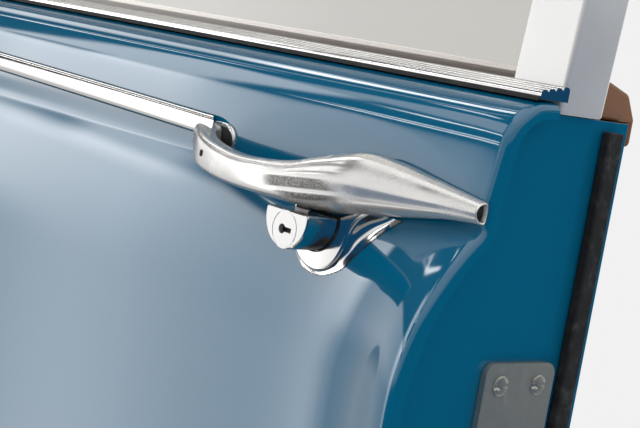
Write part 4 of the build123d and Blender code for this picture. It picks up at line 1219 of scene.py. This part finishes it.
# %% Winder and inside handle
FITTING_BACK = ARM_LOW[1]     # face of the trim board under the fittings
BOSS_R = 15.0
BOSS_PROFILE = [
    (15.0, 0.1), (15.0, 1.6), (14.2, 2.4), (12.6, 2.8), (10.6, 4.2), (9.4, 7.0),
    (9.0, 11.0), (9.2, 16.0), (10.4, 18.5),
]
KNOB_PROFILE = [
    (6.0, 0.0), (6.4, 1.0), (5.8, 2.0), (7.4, 4.0), (9.2, 7.5), (9.8, 12.0),
    (9.9, 16.0), (9.4, 20.5), (8.0, 24.0), (5.6, 26.4), (2.4, 27.6), (0.6, 27.9),
]
winder_low, winder_high = solid_box("window_winder")
lever_low, lever_high = solid_box("inside_handle")
knob_low, knob_high = solid_box("winder_knob")
winder_centre = ((winder_low[0] + winder_high[0]) / 2, winder_high[2] - BOSS_R)
lever_centre = (lever_high[0] - BOSS_R, (lever_low[2] + lever_high[2]) / 2)
knob_centre = ((knob_low[0] + knob_high[0]) / 2, (knob_low[2] + knob_high[2]) / 2)
winder_reach = winder_centre[1] - knob_centre[1]
lever_reach = lever_centre[0] - lever_low[0]
# distance along the arm, half width, middle depth and half thickness
WINDER_TABLE = [
    (-13.6, 3.0, 20.5, 1.6), (-11.5, 7.5, 21.0, 3.2), (-5.0, 12.6, 21.4, 4.4), (4.0, 13.2, 21.4, 4.5),
    (18.0, 10.0, 21.0, 3.8), (42.0, 7.4, 20.6, 3.2), (66.0, 6.8, 21.0, 3.0),
    (winder_reach - 6, 8.6, 21.8, 3.6), (winder_reach, 9.0, 22.0, 3.8),
    (winder_reach + 6.0, 6.8, 22.0, 3.2), (winder_reach + 9.0, 2.4, 22.0, 1.6),
]
LEVER_TABLE = [
    (-13.6, 3.0, 20.5, 1.6), (-11.5, 7.5, 21.0, 3.2), (-5.0, 12.4, 21.4, 4.4), (4.0, 12.6, 21.4, 4.4),
    (20.0, 9.0, 20.4, 3.7), (46.0, 6.6, 19.4, 3.1), (72.0, 6.2, 19.8, 3.0),
    (lever_reach - 14, 6.8, 21.6, 3.2), (lever_reach - 3.5, 5.0, 22.4, 2.6),
    (lever_reach - 0.6, 1.8, 22.6, 1.2),
]


def turned(name, centre, back, profile, material, slot, stands_for=()):
    """A turned piece about an axis across the door, from (radius, distance from the board) pairs."""
    rings = [at_depth(circle(radius, 56, centre), back + rise) for radius, rise in profile]
    stacked(name, [rings], material, stands_for, ENDS, sharp=32)


def blade(name, centre, along, table, stands_for):
    """Cast arm whose rings follow its table along one direction."""
    rows = np.array(table, float)
    across = np.array([along[1], -along[0]])
    turn = full_turn(28)
    rings = []
    for reach, width, depth, thick in through(rows[:, 0], rows, np.linspace(rows[0, 0], rows[-1, 0], 60)):
        middle = np.array(centre) + reach * np.array(along)
        outline = middle + np.outer(width * squarer(np.cos(turn), 0.8), across)
        rings.append(at_depth(outline, FITTING_BACK + depth + thick * squarer(np.sin(turn), 0.9)))
    stacked(name, [rings], TRIM_CHROME, stands_for, ENDS, sharp=40)


turned("winder_boss", winder_centre, FITTING_BACK, BOSS_PROFILE, TRIM_CHROME, "trim_chrome")
turned("lever_boss", lever_centre, FITTING_BACK, BOSS_PROFILE, TRIM_CHROME, "trim_chrome")
blade("winder_arm", winder_centre, (0.0, -1.0), WINDER_TABLE, ["window_winder"])
blade("lever_arm", lever_centre, (-1.0, 0.0), LEVER_TABLE, ["inside_handle"])
turned(
    "winder_knob_turned", knob_centre, knob_low[1], KNOB_PROFILE,
    KNOB_PLASTIC, "knob_plastic", ["winder_knob"],
)

# %% [markdown]
# Small fasteners finish the hinge and the shut face: hexagon bolts on the door's hinge leaves and
# slotted screws in the latch plate and the dovetail. The bolts are one mesh, a stack of rings for each.

# %% Fasteners
LATCH_PLATE_T = 2.8
LATCH_SCREW_R = 4.2
LATCH_SCREW_INSET = 9.0
DOVETAIL_SCREW_R = 3.2
DOVETAIL_SCREW_INSET = 8.0
SHUT_SCREW_H = 1.0
LEAF_T = 6.0
BOLT_INWARD = (11, 25)      # from the leaf's inner edge to each row of bolts, and from its two ends
BOLT_FROM_END = 12
# radius, and height on the leaf
BOLT_PROFILE = ((7.2, 0.0), (7.2, 1.0), (5.6, 1.0), (5.6, 4.2), (4.7, 5.0))


def hexagon_bolts():
    """Bolts that hold the door's hinge leaves, heads towards the pillar."""
    hexagon = np.stack([np.cos(full_turn(6)), np.sin(full_turn(6))], 1)
    stacks = []
    for node in ("hinge_door_leaf_lower", "hinge_door_leaf_upper"):
        low, high = solid_box(node)
        for y in high[1] - np.array(BOLT_INWARD):
            for z in (low[2] + BOLT_FROM_END, high[2] - BOLT_FROM_END):
                stacks.append([
                    np.column_stack([np.full(6, high[0] - LEAF_T - lift), hexagon * radius + (y, z)])
                    for radius, lift in BOLT_PROFILE
                ])
    stacked("hinge_bolts", stacks, PIN_STEEL, caps=(-1,), sharp=20)


def screws_on_shut_face():
    """Slotted screws at the corners of the latch plate, and two across the dovetail."""
    low, high = solid_box("door_latch")
    inset = LATCH_SCREW_INSET
    corners = [(y, z) for y in (low[1] + inset, high[1] - inset) for z in (low[2] + inset, high[2] - inset)]
    screws = [(low[0] + LATCH_PLATE_T, y, z, LATCH_SCREW_R) for y, z in corners]
    low, high = solid_box("dovetail")
    for y in (low[1] + DOVETAIL_SCREW_INSET, high[1] - DOVETAIL_SCREW_INSET):
        screws.append((high[0], y, (low[2] + high[2]) / 2, DOVETAIL_SCREW_R))
    for i, (x, y, z, radius) in enumerate(screws):
        name, centre = f"shut_face_screw_{i}", (x + 0.05, y, z)
        slotted_screw(name, centre, (1.0, 0, 0), radius, SHUT_SCREW_H, LATCH_STEEL)


hexagon_bolts()
screws_on_shut_face()

# %% [markdown]
# Some solids are already right, and only want a finish and slightly broken edges. A Weld and a Bevel modifier
# give them those without touching their meshes, since an imported solid is split along its edges.
# Real pressed and plated parts never end in a knife edge, and the small round is what catches the light.

# %% Solids that keep their shape
# the finish, and the round of the edges in millimetres
SOLID_FINISHES = {
    "inner_shell": (BODY_PAINT, 1.2),
    "window_frame": (FRAME_CHROME, 1.6),
    "window_run": (BLACK_RUBBER, 0.4),
    "window_glass": (WINDOW_GLASS, 0.0),
    "division_bar": (FRAME_CHROME, 1.2),
    "quarter_light_frame": (TRIM_CHROME, 1.2),
    "quarter_light_glass": (WINDOW_GLASS, 0.0),
    "quarter_sill": (FRAME_CHROME, 1.0),
    "sill_seal_outer": (BLACK_RUBBER, 0.3),
    "sill_capping": (CAPPING_WOOD, 1.5),
    "door_seal": (BLACK_RUBBER, 1.2),
    "door_latch": (LATCH_STEEL, 0.8),
    "dovetail": (LATCH_STEEL, 0.8),
}
for side in ("lower", "upper"):
    SOLID_FINISHES[f"hinge_pillar_leaf_{side}"] = (HINGE_STEEL, 0.8)
    SOLID_FINISHES[f"hinge_door_leaf_{side}"] = (HINGE_STEEL, 0.8)
    SOLID_FINISHES[f"hinge_pin_{side}"] = (PIN_STEEL, 0.8)


def finish_solid(name, material, round_mm):
    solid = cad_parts[name]
    solid.data.materials.clear()
    solid.data.materials.append(material)
    if round_mm:
        weld = solid.modifiers.new("weld", "WELD")
        weld.merge_threshold = 0.01 * MM
        bevel = solid.modifiers.new("broken edges", "BEVEL")
        bevel.width = round_mm * MM
        bevel.segments = 3
        bevel.limit_method = "ANGLE"
        bevel.angle_limit = math.radians(35)
        bevel.use_clamp_overlap = True
        bevel.harden_normals = True


for name, (material, round_mm) in SOLID_FINISHES.items():
    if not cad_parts[name].hide_render:
        finish_solid(name, material, round_mm)
print("finished", len(SOLID_FINISHES), "solids")

# %% [markdown]
# The stage is a plain pale floor that fades away at some distance from the door, and a few things round it.
# One function puts a mesh on the stage. Its points are metres from a centre of its own.

# %% Floor
FLOOR_HALF = 2.4
FLOOR_FADE = (1.0, 2.3)
FLOOR_DROP = 0.002


def on_stage(name, points, faces, centre, material):
    mesh = bpy.data.meshes.new(name)
    mesh.from_pydata([tuple(p) for p in points], [], faces)
    mesh.materials.append(material)
    thing = bpy.data.objects.new(name, mesh)
    thing.location = centre
    bpy.context.scene.collection.objects.link(thing)
    return thing


def make_floor():
    """Floor that reflections don't show."""
    pale = Finish("pale_floor", Roughness=0.7)
    pale.set(Base_Color=pale.blend(pale.noise(900, detail=3), (0.80, 0.80, 0.795), (0.84, 0.84, 0.835)))
    pale.set(Alpha=1 - pale.vector("LENGTH", pale.where(), output=1).ramp(*FLOOR_FADE))
    corners = FLOOR_HALF * np.array([(-1, -1, 0), (1, -1, 0), (1, 1, 0), (-1, 1, 0)])
    middle = (cad_low + cad_high) / 2
    centre = (middle.x, middle.y, cad_low.z - FLOOR_DROP)
    on_stage("floor", corners, [(0, 1, 2, 3)], centre, pale.material).visible_glossy = False


make_floor()
print("floor is", 2 * FLOOR_HALF, "m wide")

# %% [markdown]
# Gloss paint shows its surroundings more than its own colour, and a street is not white all round:
# it has a bright wall, a dark band above that and some long tubes. A car studio hangs reflectors for this.
# Here one dome stands for them all, and reflections alone can see it. Its brightness is worked out from
# direction. Bearing is the angle from straight out of the door, negative towards its front, and height is
# the angle above the horizon. Each patch is a box of those two angles with soft edges, laid over what is
# there already. A reflection of a reflection is dimmer, as it is in hollow chrome, and most of all from
# below. It keeps its light in one box of directions, where the hip would mirror the flank as a dark shape.

# %% Reflector dome
DOME_RADIUS = 40.0
DOME_RINGS = 24
DOME_SIDES = 48
DOME_BASE = 0.72
# bearing from and to, height from and to, softness of each in degrees, brightness
DOME_PATCHES = [
    (-180, 180, 54, 91, 1, 6, 0.95),
    (-134, -30, 9.6, 56, 5, 0.9, 0.04),
    (-180, -124, -44, 9.0, 3, 2.0, 1.05),
    (-128, -36.5, -44, 8.8, 2.2, 1.0, 0.88),
    (-126, -88, 26, 42, 3, 2.5, 1.60),
    (-60, -41, 26.8, 36.5, 2, 0.9, 1.15),
    (-65, -54.9, 7.0, 26.5, 1.2, 1.8, 2.0),
    (-134, -98, 8, 52, 1.5, 5, 3.6),
    (-94, -88.5, 38, 52, 0.6, 2, 4.5),
    (-72, -62, 42, 44, 2, 0.5, 3.5),
    (-78.6, -78.0, 24, 50, 0.2, 2, 2.6),
    (-76.9, -76.3, 24, 50, 0.2, 2, 2.0),
    (-51, -36, 12.1, 12.8, 2, 0.25, 6.0),
    (-50, -36, 14.0, 14.7, 2, 0.25, 6.0),
    (-52, -36, 23.9, 24.9, 2, 0.3, 6.0),
    (-64, -59.8, 7.4, 10.5, 0.9, 1.2, 0.5),
    (-180, 180, -91, -50, 1, 4, 0.20),
    (-8, 126, -50, 4, 9, 8, 0.13),
    (-8, 126, 4, 30, 9, 8, 0.40),
    (125, 180, 13, 24, 4, 2, 0.10),
    (-180, -140, 13, 24, 4, 2, 0.10),
    (140, 180, -34, -9, 4, 3, 0.30),
    (-180, -150, -34, -9, 4, 3, 0.30),
]
# one slanting tube: bearing and height of its middle, half its length and width, its tilt, its brightness
SLANT_TUBE = (-73.5, 28.5, 5.5, 0.7, math.radians(56.0), 4.0)
WALL_GLOW = [(-68.0, 0.0), (-62.0, 1.15), (-56.0, 1.05), (-51.0, 0.42), (-40.0, 0.0)]
GLOW_LEAST = 0.75               # strength of the glow low on the wall, and what it gains up to its top
GLOW_GAIN = 0.92
GLOW_RISE = (-12, 10)
GLOW_TOP = (7.6, 9.8)
WALL_SHADE = 0.38               # share of its light that the wall loses low down at its far end
FAR_END = (-140, -60.5, 3.0)
FAR_END_TOP = (-8, -1)
SECOND_LOOK = 0.30              # how bright the dome is in a reflection of a reflection
SECOND_LOOK_BELOW = 0.25        # share of that which is left for light from below
SECOND_LOOK_RISE = (-34, -6)
HIP_SEES_FLANK = ((-96, -70, 4.0), (-19, -7, 2.5))      # bearing and height, each with its softness


def reflector(name, points, faces, centre, surface):
    """Something on the stage that only reflections see, with the shader that surface makes for it."""
    material = bpy.data.materials.new(name)
    material.use_nodes = True
    material.node_tree.nodes.clear()
    sheet = Sheet(material.node_tree)
    x, y, z = sheet.split(sheet.where())
    bearing = x.maths("ARCTAN2", x, y * -1) * math.degrees(1)
    sheet.feed(sheet.tree.nodes.new("ShaderNodeOutputMaterial").inputs[0], surface(sheet, bearing, z))
    thing = on_stage(name, points, faces, centre, material)
    for sight in ("camera", "diffuse", "transmission", "shadow", "volume_scatter"):
        setattr(thing, f"visible_{sight}", False)


def dome_light(sheet, bearing, z):
    z = sheet.split(sheet.vector("NORMALIZE", sheet.where()))[2]
    height = z.maths("ARCSINE", z) * math.degrees(1)
    level = DOME_BASE
    for left, right, low, high, side_soft, high_soft, brightness in DOME_PATCHES:
        mask = bearing.between(left, right, side_soft) * height.between(low, high, high_soft)
        level = level + mask * (brightness - level)
    stops = [((bearing_at + 90) / 90, (glow, glow, glow)) for bearing_at, glow in WALL_GLOW]
    glow = sheet.node("ShaderNodeValToRGB", {"stops": stops}, {0: (bearing + 90) / 90})
    rise = GLOW_LEAST + height.ramp(*GLOW_RISE) * GLOW_GAIN
    level = level + glow * rise * (1 - height.ramp(*GLOW_TOP))
    level = level * (1 - WALL_SHADE * (bearing.between(*FAR_END) * (1 - height.ramp(*FAR_END_TOP))))
    middle, rise_at, half_length, half_width, tilt, brightness = SLANT_TUBE
    aside, above = bearing - middle, height - rise_at
    along = aside * math.cos(tilt) + above * math.sin(tilt)
    across = above * math.cos(tilt) - aside * math.sin(tilt)
    tube = across.between(-half_width, half_width, 0.55) * along.between(-half_length, half_length, 2.0)
    level = level + tube * brightness
    bounces = sheet.node("ShaderNodeLightPath", output="Glossy Depth").ramp(1.2, 1.8)
    spared = bearing.between(*HIP_SEES_FLANK[0]) * height.between(*HIP_SEES_FLANK[1])
    kept = SECOND_LOOK * (SECOND_LOOK_BELOW + height.ramp(*SECOND_LOOK_RISE) * (1 - SECOND_LOOK_BELOW))
    level = level * (1 - (1 - kept) * bounces * (1 - spared))
    return sheet.node("ShaderNodeEmission", {}, {"Strength": level})


def reflector_dome():
    turn = full_turn(DOME_SIDES)
    ring = np.stack([np.cos(turn), np.sin(turn)], 1)
    tilts = np.linspace(-math.pi / 2, math.pi / 2, DOME_RINGS)
    points = np.concatenate([np.insert(ring * math.cos(t), 2, math.sin(t), axis=1) for t in tilts])
    faces = grid_faces(DOME_RINGS, DOME_SIDES, close_columns=True)
    reflector("reflector_dome", points * DOME_RADIUS, faces, place((-100, 0, 0)), dome_light)


reflector_dome()
print("dome with", len(DOME_PATCHES), "patches")

# %% [markdown]
# On the car the next panel stands close behind the handle, and the chrome and the hip mirror its blue.
# A curved cloth in that place does the same. It is near, so its bearing and height in metres are enough.
# It fades in at its top, its bottom and its left edge, because a hard edge would show in the paint.

# %% Blue cloth
CLOTH_BLUE = (0.04, 0.36, 0.85)
CLOTH_LEVEL = 0.14
CLOTH_RADIUS = 0.45
CLOTH_BEARING = (-38.0, 150.0)
CLOTH_Z = (-0.62, 0.16)
CLOTH_TOP = -0.03       # its top where it hangs in front of the handle
CLOTH_RISE = (8, 45)    # bearings over which its top climbs from there to its full height
CLOTH_FADE = (0.05, 0.25, 8)        # metres from its top and bottom, and degrees from its left edge


def cloth_light(sheet, bearing, z):
    top, bottom, side = CLOTH_FADE
    below_top = CLOTH_TOP + bearing.ramp(*CLOTH_RISE) * (CLOTH_Z[1] - CLOTH_TOP) - z
    left = bearing.ramp(CLOTH_BEARING[0], CLOTH_BEARING[0] + side)
    share = below_top.ramp(0, top) * z.ramp(CLOTH_Z[0], CLOTH_Z[0] + bottom) * left
    light = sheet.node("ShaderNodeEmission", {}, {"Color": CLOTH_BLUE, "Strength": CLOTH_LEVEL})
    clear = sheet.node("ShaderNodeBsdfTransparent")
    return sheet.node("ShaderNodeMixShader", {}, {0: share, 1: clear, 2: light})


def blue_cloth():
    bearing = np.radians(np.linspace(*CLOTH_BEARING, 40))
    ring = CLOTH_RADIUS * np.stack([np.sin(bearing), -np.cos(bearing)], 1)
    points = np.concatenate([np.insert(ring, 2, z, axis=1) for z in np.linspace(*CLOTH_Z, 4)])
    reflector("blue_cloth", points, grid_faces(4, 40), place((0, 0, 0)), cloth_light)


blue_cloth()
print("cloth hangs", CLOTH_RADIUS, "m from the handle")

# %% [markdown]
# The room itself is one even white, which lights the door softly from all round, and two broad lamps above
# give it some shape. The lamps are hidden from reflections, since the dome stands for them.

# %% Room light and lamps
ROOM_LEVEL = 0.88
LAMP_AIM = (-300, 0, 0)


def room_light(level):
    world = bpy.data.worlds.new("room")
    bpy.context.scene.world = world
    world.use_nodes = True
    world.node_tree.nodes["Background"].inputs[0].default_value = (level, level, level, 1)


def lamp(name, centre, size, power):
    """A soft rectangular lamp in metres that faces the door."""
    data = bpy.data.lights.new(name, "AREA")
    data.shape = "RECTANGLE"
    data.size, data.size_y = size
    data.energy = power
    made = bpy.data.objects.new(name, data)
    made.location = centre
    made.rotation_mode = "QUATERNION"
    made.rotation_quaternion = (Vector(place(LAMP_AIM)) - Vector(centre)).to_track_quat("-Z", "Y")
    made.visible_glossy = False
    bpy.context.scene.collection.objects.link(made)


room_light(ROOM_LEVEL)
lamp("upper_lamp", (-0.6, -1.6, 2.6), (2.4, 1.6), 26)
lamp("inner_lamp", (1.4, 1.9, 2.2), (1.6, 1.2), 12)
print("room and lamps are ready")
